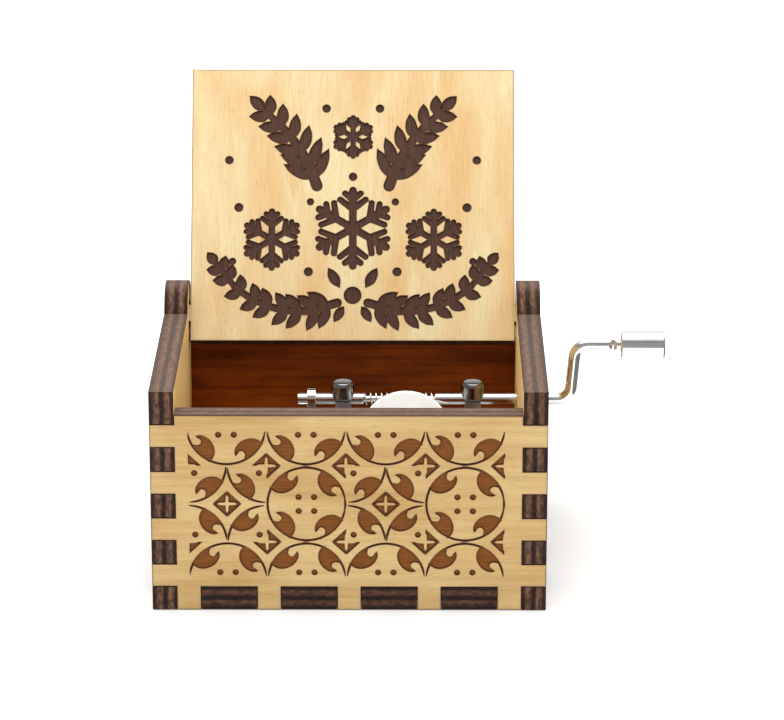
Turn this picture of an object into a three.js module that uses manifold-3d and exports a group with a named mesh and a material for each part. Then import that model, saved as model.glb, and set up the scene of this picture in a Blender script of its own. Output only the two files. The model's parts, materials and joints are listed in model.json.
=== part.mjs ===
// Hand-cranked wooden music box: a finger-jointed plywood case with a hinged lid, and an
// 18-note movement whose crank shaft turns a pinned cylinder through a worm and a wheel.
// Units are millimetres. X points right, -Y is the front, Z is up, and the origin is the
// centre of the underside.
import * as THREE from 'three';
import { mergeVertices } from 'three/addons/utils/BufferGeometryUtils.js';
import Module from 'manifold-3d';

const wasm = await Module();
wasm.setup();

// ---- Driving dimensions -------------------------------------------------------------
const WIDTH = 64;                 // case, outside, along X
const DEPTH = 52;                 // case, outside, along Y
const PLY = 4;                    // plywood thickness, and the height of every finger
const KERF = 0.06;                // what the laser takes off each flank of a finger
const FRONT_HEIGHT = 33.5;        // front panel; the closed lid lies on it
const SIDE_HEIGHT = 37.5;         // side panels; flush with the closed lid's top
const BACK_HEIGHT = 29.8;         // back panel; low enough for the lid's rear edge to swing
const EAR_RADIUS = 6;             // round ears of the side panels, around the lid pivot
const PIVOT_Y = DEPTH / 2 - EAR_RADIUS;
const PIVOT_Z = (FRONT_HEIGHT + SIDE_HEIGHT) / 2;
const PIVOT_HOLE_RADIUS = 2.75;

const LID_WIDTH = 55.5;
const LID_LENGTH = 47.5;
const LID_REAR = 4.8;             // from the pivot to the lid's rear edge
const LID_TAB_DEPTH = 3;          // the tab's section is this by PLY
const LID_TAB_REACH = 31.8;       // from the centre plane to a tab's end
const LID_OPEN_DEG = 117.4;       // how far the lid stands open at rest

const SHAFT_Y = 10;               // crank shaft axis
const SHAFT_Z = 23.8;
const SHAFT_RADIUS = 1;
const SHAFT_LEFT_X = -9.3;
const RUNNING_CLEARANCE = 0.08;   // radial, in every bearing
const HOLE_CLEARANCE = 0.15;      // radial, where a screw passes through
const THREAD_CLEARANCE = 0.05;    // radial, where a screw holds
const JOIN_DEPTH = 0.5;           // how far joined solids of one casting reach into each other

const MODULE = 0.3;               // tooth size of the worm and its wheel
const WHEEL_TEETH = 32;
const WHEEL_PITCH_RADIUS = MODULE * WHEEL_TEETH / 2;
const WORM_PITCH_RADIUS = 0.9;
const WORM_LEAD = Math.PI * MODULE;
const WORM_START_X = 1.9;
const WORM_END_X = 14.2;

const CYLINDER_X = 9.2;           // cylinder axis, which runs along Y
const CYLINDER_Z = SHAFT_Z - WORM_PITCH_RADIUS - WHEEL_PITCH_RADIUS;
const CYLINDER_RADIUS = 4.6;
const CYLINDER_FRONT_Y = -12;
const CYLINDER_REAR_Y = 7;
const PIN_HEIGHT = 0.4;
const NOTE_COUNT = 18;
const ARBOR_RADIUS = 1;

const BED_BOTTOM = 7;             // bedplate of the movement
const BED_TOP = 9.3;

// ---- Materials ----------------------------------------------------------------------
const finish = (color, roughness, metalness) =>
  new THREE.MeshStandardMaterial({ color, roughness, metalness });
const paleWood = () => finish(0xdcb97d, 0.7, 0);
const lidWood = () => finish(0xf3d396, 0.65, 0);
const stainedWood = () => finish(0x5a2408, 0.6, 0);
const steel = () => finish(0xd8d8d8, 0.2, 1);
const castZinc = () => finish(0x9a9a96, 0.5, 0.9);
const brass = () => finish(0xc9a24a, 0.3, 1);
const nylon = () => finish(0xf6f6f4, 0.5, 0);

// ---- Helpers ------------------------------------------------------------------------
const X = new THREE.Vector3(1, 0, 0);
const Y = new THREE.Vector3(0, 1, 0);
const Z = new THREE.Vector3(0, 0, 1);
const BACKWARD = Y.clone().negate();

// Turns a geometry's own x, y, z onto three given directions.
function orient(geometry, a, b, c) {
  return geometry.applyMatrix4(new THREE.Matrix4().makeBasis(a, b, c));
}

function outline(points) {
  return new THREE.Shape(points.map(([x, y]) => new THREE.Vector2(x, y)));
}

function circlePath(x, y, radius) {
  const path = new THREE.Path();
  path.absarc(x, y, radius, 0, 2 * Math.PI, true);
  return path;
}

function extrude(shape, depth, curveSegments = 12) {
  return new THREE.ExtrudeGeometry(shape, { depth, curveSegments, bevelEnabled: false });
}

function box(x0, x1, y0, y1, z0, z1) {
  const geometry = new THREE.BoxGeometry(x1 - x0, y1 - y0, z1 - z0);
  return geometry.translate((x0 + x1) / 2, (y0 + y1) / 2, (z0 + z1) / 2);
}

// A turned piece: profile points are [radius, height], and the axis is along +Z.
function turned(profile, sides = 20) {
  const points = profile.map(([r, h]) => new THREE.Vector2(r, h));
  return orient(new THREE.LatheGeometry(points, sides), X, Z, BACKWARD);
}

function rod(radius, length, sides = 16) {
  return turned([[0, 0], [radius, 0], [radius, length], [0, length]], sides);
}

const alongX = (geometry) => orient(geometry, Y, Z, X);
const alongY = (geometry) => orient(geometry, Z, X, Y);

function toSolid(geometry) {
  const bare = geometry.clone();
  bare.deleteAttribute('normal');
  bare.deleteAttribute('uv');
  const merged = mergeVertices(bare, 1e-4);
  return new wasm.Manifold(new wasm.Mesh({
    numProp: 3,
    vertProperties: new Float32Array(merged.attributes.position.array),
    triVerts: new Uint32Array(merged.index.array),
  }));
}

function toGeometry(solid) {
  const mesh = solid.getMesh();
  const geometry = new THREE.BufferGeometry();
  geometry.setAttribute('position', new THREE.BufferAttribute(mesh.vertProperties, 3));
  geometry.setIndex(new THREE.BufferAttribute(mesh.triVerts, 1));
  geometry.computeVertexNormals();
  return geometry;
}

const joined = (pieces) => pieces.map(toSolid).reduce((sum, piece) => sum.add(piece));
const carved = (solid, cutters) =>
  cutters.map(toSolid).reduce((rest, cutter) => rest.subtract(cutter), solid);

const musicBox = new THREE.Group();

function place(name, geometry, material, group = musicBox) {
  const mesh = new THREE.Mesh(geometry, material);
  mesh.name = name;
  group.add(mesh);
}

// ---- Case ---------------------------------------------------------------------------
const HALF_WIDTH = WIDTH / 2;
const HALF_DEPTH = DEPTH / 2;
const INNER_X = HALF_WIDTH - PLY;
const INNER_Y = HALF_DEPTH - PLY;
const FRONT_TAB_WIDTH = 9;
const SIDE_TAB_COUNT = 3;
const SIDE_TAB_WIDTH = (2 * INNER_Y - (SIDE_TAB_COUNT + 1) * PLY) / SIDE_TAB_COUNT;

// Start and end of each tab of the bottom panel, along one edge centred on zero.
function tabSpans(count, width, gap) {
  const pitch = width + gap;
  const first = -(count * pitch - gap) / 2;
  return Array.from({ length: count }, (_, i) => [first + i * pitch, first + i * pitch + width]);
}
const FRONT_TABS = tabSpans(4, FRONT_TAB_WIDTH, PLY);
const SIDE_TABS = tabSpans(SIDE_TAB_COUNT, SIDE_TAB_WIDTH, PLY);

// Points of an edge that steps between two levels: out over every span, in between them.
function steppedEdge(spans, level, out, shrink) {
  return spans.flatMap(([a, b]) => [
    [a + shrink, level], [a + shrink, out], [b - shrink, out], [b - shrink, level],
  ]);
}

// Fingers of the front and back panels: every second layer of ply, from one layer up.
function fingerSpans(topLimit) {
  const spans = [];
  for (let z = PLY; z + PLY <= topLimit; z += 2 * PLY) spans.push([z, z + PLY]);
  return spans;
}

const swap = (points) => points.map(([a, b]) => [b, a]);
const mirror = (points) => points.map(([a, b]) => [-a, b]).reverse();

function endPanel(height, fingersBelow) {
  const bottom = steppedEdge(FRONT_TABS, 0, PLY, -KERF);
  const side = swap(steppedEdge(fingerSpans(fingersBelow), INNER_X, HALF_WIDTH, KERF));
  const half = [[INNER_X, 0], ...side, [INNER_X, height]];
  return outline([...bottom, ...half, ...mirror(half)]);
}

function sidePanel() {
  const front = swap(steppedEdge(fingerSpans(FRONT_HEIGHT), -HALF_DEPTH, -INNER_Y, -KERF));
  const rear = swap(steppedEdge(fingerSpans(BACK_HEIGHT - PLY), HALF_DEPTH, INNER_Y, -KERF));
  const bottom = steppedEdge(SIDE_TABS, 0, PLY, -KERF);
  const shape = new THREE.Shape();
  shape.moveTo(-HALF_DEPTH, 0);
  for (const [y, z] of [...bottom, [HALF_DEPTH, 0], ...rear]) shape.lineTo(y, z);
  const shoulder = Math.PI - Math.asin((SIDE_HEIGHT - PIVOT_Z) / EAR_RADIUS);
  shape.lineTo(HALF_DEPTH, PIVOT_Z);
  shape.absarc(PIVOT_Y, PIVOT_Z, EAR_RADIUS, 0, shoulder, false);
  shape.lineTo(-HALF_DEPTH, SIDE_HEIGHT);
  for (const [y, z] of front.reverse()) shape.lineTo(y, z);
  shape.holes.push(circlePath(PIVOT_Y, PIVOT_Z, PIVOT_HOLE_RADIUS));
  return shape;
}

const SHAFT_HOLE_RADIUS = 1.6;
const SCREW_PLACES = [[-13, -12.5], [20, -12.5], [3, 12]];
const SCREW_HEAD_RADIUS = 2.3;
const SCREW_SHANK_RADIUS = 1.2;
const SCREW_RECESS = 2;           // how deep each screw head's pocket goes into the ply
const SCREW_CLEARANCE = 0.2;

function buildCase() {
  const front = orient(extrude(endPanel(FRONT_HEIGHT, FRONT_HEIGHT), PLY), X, Z, BACKWARD);
  place('front_panel', front.translate(0, -INNER_Y, 0), paleWood());
  const back = orient(extrude(endPanel(BACK_HEIGHT, BACK_HEIGHT - PLY), PLY), X, Z, BACKWARD);
  place('back_panel', back.translate(0, HALF_DEPTH, 0), stainedWood());

  const left = alongX(extrude(sidePanel(), PLY, 20));
  place('left_panel', left.translate(-HALF_WIDTH, 0, 0), paleWood());
  const rightShape = sidePanel();
  rightShape.holes.push(circlePath(SHAFT_Y, SHAFT_Z, SHAFT_HOLE_RADIUS));
  const right = alongX(extrude(rightShape, PLY, 20));
  place('right_panel', right.translate(INNER_X, 0, 0), paleWood());

  const frontEdge = steppedEdge(FRONT_TABS, -INNER_Y, -HALF_DEPTH, 0);
  const rightEdge = swap(steppedEdge(SIDE_TABS, INNER_X, HALF_WIDTH, 0));
  const half = [[-INNER_X, -INNER_Y], ...frontEdge, [INNER_X, -INNER_Y], ...rightEdge];
  const turnedHalf = half.map(([x, y]) => [-x, -y]);
  const board = toSolid(extrude(outline([...half, ...turnedHalf]), PLY));
  const pockets = SCREW_PLACES.flatMap(([x, y]) => [
    rod(SCREW_HEAD_RADIUS + SCREW_CLEARANCE, SCREW_RECESS + 1).translate(x, y, -1),
    rod(SCREW_SHANK_RADIUS + SCREW_CLEARANCE, PLY + 2).translate(x, y, -1),
  ]);
  place('bottom_panel', toGeometry(carved(board, pockets)), paleWood());
}

// ---- Lid ----------------------------------------------------------------------------
// Drawn closed, with the pivot line as the group's X axis; the group then swings it open.
function buildLid() {
  const halfWidth = LID_WIDTH / 2;
  const halfTab = LID_TAB_DEPTH / 2;
  const side = [
    [halfWidth, LID_REAR - LID_LENGTH], [halfWidth, -halfTab], [LID_TAB_REACH, -halfTab],
    [LID_TAB_REACH, halfTab], [halfWidth, halfTab], [halfWidth, LID_REAR],
  ];
  const board = extrude(outline([...side, ...mirror(side)]), PLY).translate(0, 0, -PLY / 2);
  const hinge = new THREE.Group();
  hinge.position.set(0, PIVOT_Y, PIVOT_Z);
  hinge.rotation.x = -THREE.MathUtils.degToRad(LID_OPEN_DEG);
  place('lid_panel', board, lidWood(), hinge);
  musicBox.add(hinge);
}

// ---- Crank --------------------------------------------------------------------------
const CRANK_THROW = 9.8;          // from the shaft axis to the knob axis
const ARM_X = 37;                 // where the arm's centreline leaves the shaft axis
const ARM_LEAN_DEG = 5;           // the arm leans outward as it rises
const BEND_RADIUS = 2.4;          // of the wire's centreline
const BEND_START_X = 34;
const BEND_END_X = 43;
const BEND_STEPS = 20;
const WIRE_SIDES = 12;
const WIRE_OVERLAP = 0.02;        // how far the runs of wire reach into each other
const CRIMP_X = 43.5;             // flattened ears that stop the knob sliding inward
const CRIMP_SIZE = [1.3, 1.2, 3];
const KNOB_X = 45.4;
const KNOB_LENGTH = 7.5;
const KNOB_RADIUS = 2.42;
const KNOB_BORE_RADIUS = 1.15;
const KNOB_CHAMFER = 0.25;
const POCKET_DEPTH = 1;           // pocket in the knob's end, around the retainer
const POCKET_RADIUS = 1.9;
const RETAINER_RADIUS = 1.6;
const RETAINER_LENGTH = 0.5;
const WIRE_END_X = KNOB_X + KNOB_LENGTH - 0.3;

// A rounded corner of the wire, as the cubic that follows a circle's arc.
function wireCorner(corner, inward, outward) {
  const turn = inward.angleTo(outward);
  const trim = BEND_RADIUS * Math.tan(turn / 2);
  const handle = 4 / 3 * BEND_RADIUS * Math.tan(turn / 4);
  const start = corner.clone().addScaledVector(inward, -trim);
  const end = corner.clone().addScaledVector(outward, trim);
  const startHandle = start.clone().addScaledVector(inward, handle);
  const endHandle = end.clone().addScaledVector(outward, -handle);
  return new THREE.CubicBezierCurve3(start, startHandle, endHandle, end);
}

function crankBend() {
  const lean = THREE.MathUtils.degToRad(ARM_LEAN_DEG);
  const arm = new THREE.Vector3(Math.sin(lean), 0, Math.cos(lean));
  const low = wireCorner(new THREE.Vector3(ARM_X, 0, 0), X, arm);
  const topX = ARM_X + CRANK_THROW * Math.tan(lean);
  const high = wireCorner(new THREE.Vector3(topX, 0, CRANK_THROW), arm, X);
  const path = new THREE.CurvePath();
  path.add(new THREE.LineCurve3(new THREE.Vector3(BEND_START_X, 0, 0), low.v0));
  path.add(low);
  path.add(new THREE.LineCurve3(low.v3, high.v0));
  path.add(high);
  path.add(new THREE.LineCurve3(high.v3, new THREE.Vector3(BEND_END_X, 0, CRANK_THROW)));
  const section = new THREE.Shape().absarc(0, 0, SHAFT_RADIUS, 0, 2 * Math.PI, false);
  return new THREE.ExtrudeGeometry(section, {
    extrudePath: path, steps: BEND_STEPS, curveSegments: WIRE_SIDES, bevelEnabled: false,
  });
}

// The worm's cross-section, extruded along the shaft and twisted one turn for every lead,
// is a right-handed thread. The crest passes straight below the axis at the wheel's axis.
const WORM_CREST_RADIUS = WORM_PITCH_RADIUS + MODULE;
const WORM_ROOT_RADIUS = 0.55;
const WORM_SECTION = [            // half of it: angle from the crest in degrees, radius
  [15, WORM_CREST_RADIUS], [45, 0.98], [76, 0.77], [106, WORM_ROOT_RADIUS],
  [155, WORM_ROOT_RADIUS],
];
const WORM_STEPS_PER_TURN = 10;

function worm() {
  const length = WORM_END_X - WORM_START_X;
  const full = [...WORM_SECTION, ...WORM_SECTION.map(([a, r]) => [360 - a, r]).reverse()];
  const section = outline(full.map(([degrees, r]) => {
    const angle = THREE.MathUtils.degToRad(degrees);
    return [r * Math.cos(angle), r * Math.sin(angle)];
  }));
  const steps = Math.round(length / WORM_LEAD * WORM_STEPS_PER_TURN);
  const thread = new THREE.ExtrudeGeometry(section, { depth: length, steps, bevelEnabled: false });
  const crestAngle = (x) => 2 * Math.PI * (x - CYLINDER_X) / WORM_LEAD - Math.PI / 2;
  twist(thread, (h) => crestAngle(WORM_START_X + h));
  return alongX(thread).translate(WORM_START_X, 0, 0);
}

// Turns every point about the z axis by an angle that depends on its height.
function twist(geometry, angleAt) {
  const position = geometry.attributes.position;
  const point = new THREE.Vector3();
  for (let i = 0; i < position.count; i += 1) {
    point.fromBufferAttribute(position, i);
    point.applyAxisAngle(Z, angleAt(point.z));
    position.setXYZ(i, point.x, point.y, point.z);
  }
}

function wire(fromX, toX, height) {
  return alongX(rod(SHAFT_RADIUS, toX - fromX, WIRE_SIDES)).translate(fromX, 0, height);
}

function buildCrank() {
  const [crimpLength, crimpThickness, crimpHeight] = CRIMP_SIZE;
  const crimp = new THREE.BoxGeometry(crimpLength, crimpThickness, crimpHeight);
  const shaft = joined([
    wire(SHAFT_LEFT_X, WORM_START_X + WIRE_OVERLAP, 0),
    worm(),
    wire(WORM_END_X - WIRE_OVERLAP, BEND_START_X + WIRE_OVERLAP, 0),
    crankBend(),
    wire(BEND_END_X - WIRE_OVERLAP, WIRE_END_X, CRANK_THROW),
    crimp.translate(CRIMP_X + crimpLength / 2, 0, CRANK_THROW),
  ]);
  place('crank_shaft', toGeometry(shaft).translate(0, SHAFT_Y, SHAFT_Z), steel());

  const body = KNOB_RADIUS;
  const inner = KNOB_LENGTH - POCKET_DEPTH;
  const knob = turned([
    [KNOB_BORE_RADIUS, 0], [body - KNOB_CHAMFER, 0], [body, KNOB_CHAMFER],
    [body, KNOB_LENGTH - KNOB_CHAMFER], [body - KNOB_CHAMFER, KNOB_LENGTH],
    [POCKET_RADIUS, KNOB_LENGTH], [POCKET_RADIUS, inner], [KNOB_BORE_RADIUS, inner],
    [KNOB_BORE_RADIUS, 0],
  ]);
  const knobAxisZ = SHAFT_Z + CRANK_THROW;
  place('crank_knob', alongX(knob).translate(KNOB_X, SHAFT_Y, knobAxisZ), steel());

  const retainer = ring(SHAFT_RADIUS + 0.05, RETAINER_RADIUS, RETAINER_LENGTH);
  const retainerX = KNOB_X + inner + 0.15;
  place('knob_retainer', alongX(retainer).translate(retainerX, SHAFT_Y, knobAxisZ), steel());
}

function ring(inner, outer, length) {
  return turned([[inner, 0], [outer, 0], [outer, length], [inner, length], [inner, 0]]);
}

// ---- Pinned cylinder and its wheel --------------------------------------------------
const WHEEL_TIP_RADIUS = WHEEL_PITCH_RADIUS + MODULE;
const WHEEL_ROOT_RADIUS = WHEEL_PITCH_RADIUS - 1.25 * MODULE;
const WHEEL_TIP_HALF = 0.09;      // half the width of a tooth at its tip and at its root
const WHEEL_ROOT_HALF = 0.33;
const WHEEL_FACE = 2;             // tooth length, along Y
const FLANGE_RADIUS = 7.7;        // disc in front of the worm, part of the wheel
const FLANGE_FRONT_Y = 7.4;
const FLANGE_REAR_Y = 8.4;
const BOSS_RADIUS = 3.8;          // plugs into the cylinder
const BOSS_FRONT_Y = 5.4;
const WHEEL_BORE_RADIUS = ARBOR_RADIUS + 0.05;

function wheelTeeth() {
  const pitch = 2 * Math.PI / WHEEL_TEETH;
  const points = [];
  for (let tooth = 0; tooth < WHEEL_TEETH; tooth += 1) {
    const centre = (tooth + 0.5) * pitch;
    const corners = [
      [WHEEL_ROOT_RADIUS, -WHEEL_ROOT_HALF], [WHEEL_TIP_RADIUS, -WHEEL_TIP_HALF],
      [WHEEL_TIP_RADIUS, WHEEL_TIP_HALF], [WHEEL_ROOT_RADIUS, WHEEL_ROOT_HALF],
    ];
    for (const [radius, offset] of corners) {
      const angle = centre + offset / radius;
      points.push([radius * Math.cos(angle), radius * Math.sin(angle)]);
    }
  }
  const teeth = new THREE.ExtrudeGeometry(outline(points), {
    depth: WHEEL_FACE, steps: 2, bevelEnabled: false,
  });
  const threadSlope = WORM_LEAD / (2 * Math.PI * WORM_PITCH_RADIUS);
  twist(teeth, (h) => (h - WHEEL_FACE / 2) * threadSlope / WHEEL_PITCH_RADIUS);
  return teeth;
}

function buildWheel() {
  const hubRadius = WHEEL_ROOT_RADIUS - 0.1;
  const teethStart = SHAFT_Y - WHEEL_FACE / 2;
  const blankEnd = teethStart + JOIN_DEPTH;
  const blank = turned([
    [0, BOSS_FRONT_Y], [BOSS_RADIUS, BOSS_FRONT_Y], [BOSS_RADIUS, FLANGE_FRONT_Y],
    [FLANGE_RADIUS, FLANGE_FRONT_Y], [FLANGE_RADIUS, FLANGE_REAR_Y],
    [hubRadius, FLANGE_REAR_Y], [hubRadius, blankEnd], [0, blankEnd],
  ], 64);
  const wheel = joined([blank, wheelTeeth().translate(0, 0, teethStart)]);
  const bore = rod(WHEEL_BORE_RADIUS, 2 * SHAFT_Y);
  const geometry = alongY(toGeometry(carved(wheel, [bore])));
  place('worm_wheel', geometry.translate(CYLINDER_X, 0, CYLINDER_Z), nylon());
}

const CYLINDER_BORE_RADIUS = 3.9;
const CAP_LENGTH = 1.2;
const PINS_PER_TRACK = 3;
const PIN_WIDTH = 0.36;
const PIN_ROOT = 0.2;             // how deep a pin's foot reaches into the cylinder wall
const TRACK_PITCH = (CYLINDER_REAR_Y - CYLINDER_FRONT_Y - 1) / NOTE_COUNT;
const GOLDEN_ANGLE = Math.PI * (3 - Math.sqrt(5));
const trackY = (note) => CYLINDER_FRONT_Y + 0.5 + (note + 0.5) * TRACK_PITCH;

// The tune: every track gets its pins at angles spread by the golden angle.
function pins() {
  const pieces = [];
  for (let note = 0; note < NOTE_COUNT; note += 1) {
    for (let k = 0; k < PINS_PER_TRACK; k += 1) {
      const angle = GOLDEN_ANGLE * (note * PINS_PER_TRACK + k);
      const pin = box(CYLINDER_RADIUS - PIN_ROOT, CYLINDER_RADIUS + PIN_HEIGHT,
        -PIN_WIDTH / 2, PIN_WIDTH / 2, -PIN_WIDTH / 2, PIN_WIDTH / 2);
      pieces.push(pin.rotateY(angle).translate(0, trackY(note), 0));
    }
  }
  return pieces;
}

function buildCylinder() {
  const length = CYLINDER_REAR_Y - CYLINDER_FRONT_Y;
  const tube = turned([
    [CYLINDER_BORE_RADIUS, 0], [CYLINDER_RADIUS, 0], [CYLINDER_RADIUS, length],
    [CYLINDER_BORE_RADIUS, length], [CYLINDER_BORE_RADIUS, 0],
  ], 40);
  const wall = alongY(tube).translate(0, CYLINDER_FRONT_Y, 0);
  const pinned = toGeometry(joined([wall, ...pins()]));
  place('pinned_cylinder', pinned.translate(CYLINDER_X, 0, CYLINDER_Z), steel());

  const cap = alongY(ring(WHEEL_BORE_RADIUS, BOSS_RADIUS, CAP_LENGTH));
  cap.translate(CYLINDER_X, CYLINDER_FRONT_Y + 0.2, CYLINDER_Z);
  place('cylinder_cap', cap, brass());

  const arbor = alongY(rod(ARBOR_RADIUS, ARBOR_REAR_Y - ARBOR_FRONT_Y, 20));
  place('cylinder_arbor', arbor.translate(CYLINDER_X, ARBOR_FRONT_Y, CYLINDER_Z), steel());
  const collar = alongY(ring(WHEEL_BORE_RADIUS, COLLAR_RADIUS, COLLAR_LENGTH));
  place('arbor_collar', collar.translate(CYLINDER_X, COLLAR_Y, CYLINDER_Z), brass());
}

// ---- Bedplate and bearings ----------------------------------------------------------
const BED_LEFT = -18;
const BED_RIGHT = 24;
const BED_FRONT = -19.5;
const BED_REAR = 16;
const BED_CORNER = 2;
const BOSS_FOOT_RADIUS = 3.2;     // bosses that stand on the bottom panel
const POST_XS = [-1.55, 20.5];    // the two posts that carry the crank shaft
const POST_WIDTH = 2.7;
const POST_DEPTH = 3.9;
const CAP_RADIUS = 1.95;
const CAP_HEIGHT = 3.1;
const CAP_FOOT_TAPER = 0.86;      // radius at the foot and at the crown, as shares of the full one
const CAP_CROWN_TAPER = 0.8;
const CAP_FOOT_HEIGHT = 0.5;
const CAP_CROWN_HEIGHT = 0.6;
const CAP_GAP = 0.05;
const BEARING_RADIUS = SHAFT_RADIUS + RUNNING_CLEARANCE;
const REAR_BEARING_Y = [12.4, 14.2];
const FRONT_BEARING_Y = [-15.2, -13.4];
const UPRIGHT_HALF = 2.5;
const UPRIGHT_TOP = CYLINDER_Z + 2.5;
const ARBOR_FRONT_Y = -15.6;
const COLLAR_Y = 14.35;
const COLLAR_LENGTH = 0.9;
const COLLAR_RADIUS = 2;
const ARBOR_REAR_Y = COLLAR_Y + COLLAR_LENGTH + 0.25;
const FOOT_THICKNESS = 1.2;
const END_PLATE_X = [-7.6, -6.15];
const END_PLATE_RADIUS = 1.8;
const END_FOOT_X = -12.6;
const FRONT_FOOT_Y = -19.2;

const shaftBore = (x0, x1) =>
  alongX(rod(BEARING_RADIUS, x1 - x0)).translate(x0, SHAFT_Y, SHAFT_Z);
const arborBore = (y0, y1) =>
  alongY(rod(BEARING_RADIUS, y1 - y0)).translate(CYLINDER_X, y0, CYLINDER_Z);

function roundedPlate(x0, x1, y0, y1, radius) {
  const shape = new THREE.Shape();
  shape.absarc(x1 - radius, y0 + radius, radius, -Math.PI / 2, 0, false);
  shape.absarc(x1 - radius, y1 - radius, radius, 0, Math.PI / 2, false);
  shape.absarc(x0 + radius, y1 - radius, radius, Math.PI / 2, Math.PI, false);
  shape.absarc(x0 + radius, y0 + radius, radius, Math.PI, 3 * Math.PI / 2, false);
  return shape;
}

function buildBedplate() {
  const shape = roundedPlate(BED_LEFT, BED_RIGHT, BED_FRONT, BED_REAR, BED_CORNER);
  const plate = extrude(shape, BED_TOP - BED_BOTTOM, 4).translate(0, 0, BED_BOTTOM);
  const inside = BED_BOTTOM + JOIN_DEPTH;
  const feet = SCREW_PLACES.map(([x, y]) =>
    rod(BOSS_FOOT_RADIUS, inside - PLY, 20).translate(x, y, PLY));
  const posts = POST_XS.map((x) => box(x - POST_WIDTH / 2, x + POST_WIDTH / 2,
    SHAFT_Y - POST_DEPTH / 2, SHAFT_Y + POST_DEPTH / 2, inside, SHAFT_Z - CAP_GAP));
  const upright = box(CYLINDER_X - UPRIGHT_HALF, CYLINDER_X + UPRIGHT_HALF,
    ...REAR_BEARING_Y, inside, UPRIGHT_TOP);
  const screwHoles = [...SCREW_PLACES.map(([x, y]) =>
    rod(SCREW_SHANK_RADIUS + THREAD_CLEARANCE, SCREW_TOP - PLY + 1.3).translate(x, y, PLY - 1)),
  ...TOP_SCREWS.map(({ at: [x, y, z] }) =>
    rod(SMALL_SHANK_RADIUS + THREAD_CLEARANCE, 3).translate(x, y, Math.min(z, BED_TOP) - 1.8))];
  const bores = [shaftBore(POST_XS[0] - 3, POST_XS[1] + 3), arborBore(...REAR_BEARING_Y)];
  const casting = carved(joined([plate, ...feet, ...posts, upright]), [...screwHoles, ...bores]);
  place('movement_bedplate', toGeometry(casting), castZinc());
}

function buildBearingCaps() {
  POST_XS.forEach((x, i) => {
    const barrel = turned([
      [0, 0], [CAP_RADIUS * CAP_FOOT_TAPER, 0], [CAP_RADIUS, CAP_FOOT_HEIGHT],
      [CAP_RADIUS, CAP_HEIGHT - CAP_CROWN_HEIGHT], [CAP_RADIUS * CAP_CROWN_TAPER, CAP_HEIGHT],
      [0, CAP_HEIGHT],
    ]).translate(x, SHAFT_Y, SHAFT_Z);
    const cap = carved(toSolid(barrel), [shaftBore(x - CAP_RADIUS - 1, x + CAP_RADIUS + 1)]);
    place(`bearing_cap_${i === 0 ? 'left' : 'right'}`, toGeometry(cap), steel());
  });
}

function buildEndBracket() {
  const [x0, x1] = END_PLATE_X;
  const y0 = SHAFT_Y - END_PLATE_RADIUS;
  const y1 = SHAFT_Y + END_PLATE_RADIUS;
  const top = rod(END_PLATE_RADIUS, x1 - x0);
  const hole = toSolid(rod(SMALL_SHANK_RADIUS + HOLE_CLEARANCE, 4).translate(...END_SCREW_XY, BED_TOP - 1));
  const bracket = joined([
    box(x0, x1, y0, y1, BED_TOP, SHAFT_Z),
    alongX(top).translate(x0, SHAFT_Y, SHAFT_Z),
    box(END_FOOT_X, x1, y0, y1, BED_TOP, BED_TOP + FOOT_THICKNESS),
  ]);
  const drilled = carved(bracket, [shaftBore(x0 - 1, x1 + 1)]).subtract(hole);
  place('end_bracket', toGeometry(drilled), steel());
}

function buildFrontBracket() {
  const [y0, y1] = FRONT_BEARING_Y;
  const x0 = CYLINDER_X - UPRIGHT_HALF;
  const x1 = CYLINDER_X + UPRIGHT_HALF;
  const bracket = joined([
    box(x0, x1, y0, y1, BED_TOP, UPRIGHT_TOP),
    box(x0, x1, FRONT_FOOT_Y, y1, BED_TOP, BED_TOP + FOOT_THICKNESS),
  ]);
  const hole = rod(SMALL_SHANK_RADIUS + HOLE_CLEARANCE, 4).translate(...FRONT_SCREW_XY, BED_TOP - 1);
  const drilled = carved(bracket, [arborBore(y0 - 1, y1 + 1), hole]);
  place('front_bracket', toGeometry(drilled), castZinc());
}

// ---- Comb ---------------------------------------------------------------------------
const PIN_TIP_GAP = 0.15;         // between the comb's tips and the pins
const COMB_TIP_X = CYLINDER_X - CYLINDER_RADIUS - PIN_HEIGHT - PIN_TIP_GAP;
const COMB_BACK_X = -16;
const COMB_ROOT_X = [-9.5, -5.5]; // where the teeth begin: the deepest note, the highest
const COMB_THICKNESS = 0.9;
const COMB_BOTTOM = CYLINDER_Z - COMB_THICKNESS / 2;
const COMB_SLOT = 0.2;
const COMB_TIP_TAPER = 0.7;       // a tooth's width at its tip, as a share of that at its root
const RISER_RIGHT_X = -10.6;
const COMB_FRONT_Y = trackY(0) - TRACK_PITCH / 2;
const COMB_REAR_Y = trackY(NOTE_COUNT - 1) + TRACK_PITCH / 2;

function combOutline() {
  const half = (TRACK_PITCH - COMB_SLOT) / 2;
  const tipHalf = half * COMB_TIP_TAPER;
  const [deep, high] = COMB_ROOT_X;
  const teeth = Array.from({ length: NOTE_COUNT }, (_, note) => {
    const y = trackY(note);
    const root = high + (deep - high) * note / (NOTE_COUNT - 1);
    return [
      [root, y - half], [COMB_TIP_X, y - tipHalf], [COMB_TIP_X, y + tipHalf], [root, y + half],
    ];
  });
  return outline([
    [COMB_BACK_X, COMB_REAR_Y], [COMB_BACK_X, COMB_FRONT_Y], [high, COMB_FRONT_Y],
    ...teeth.flat(), [deep, COMB_REAR_Y],
  ]);
}

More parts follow.
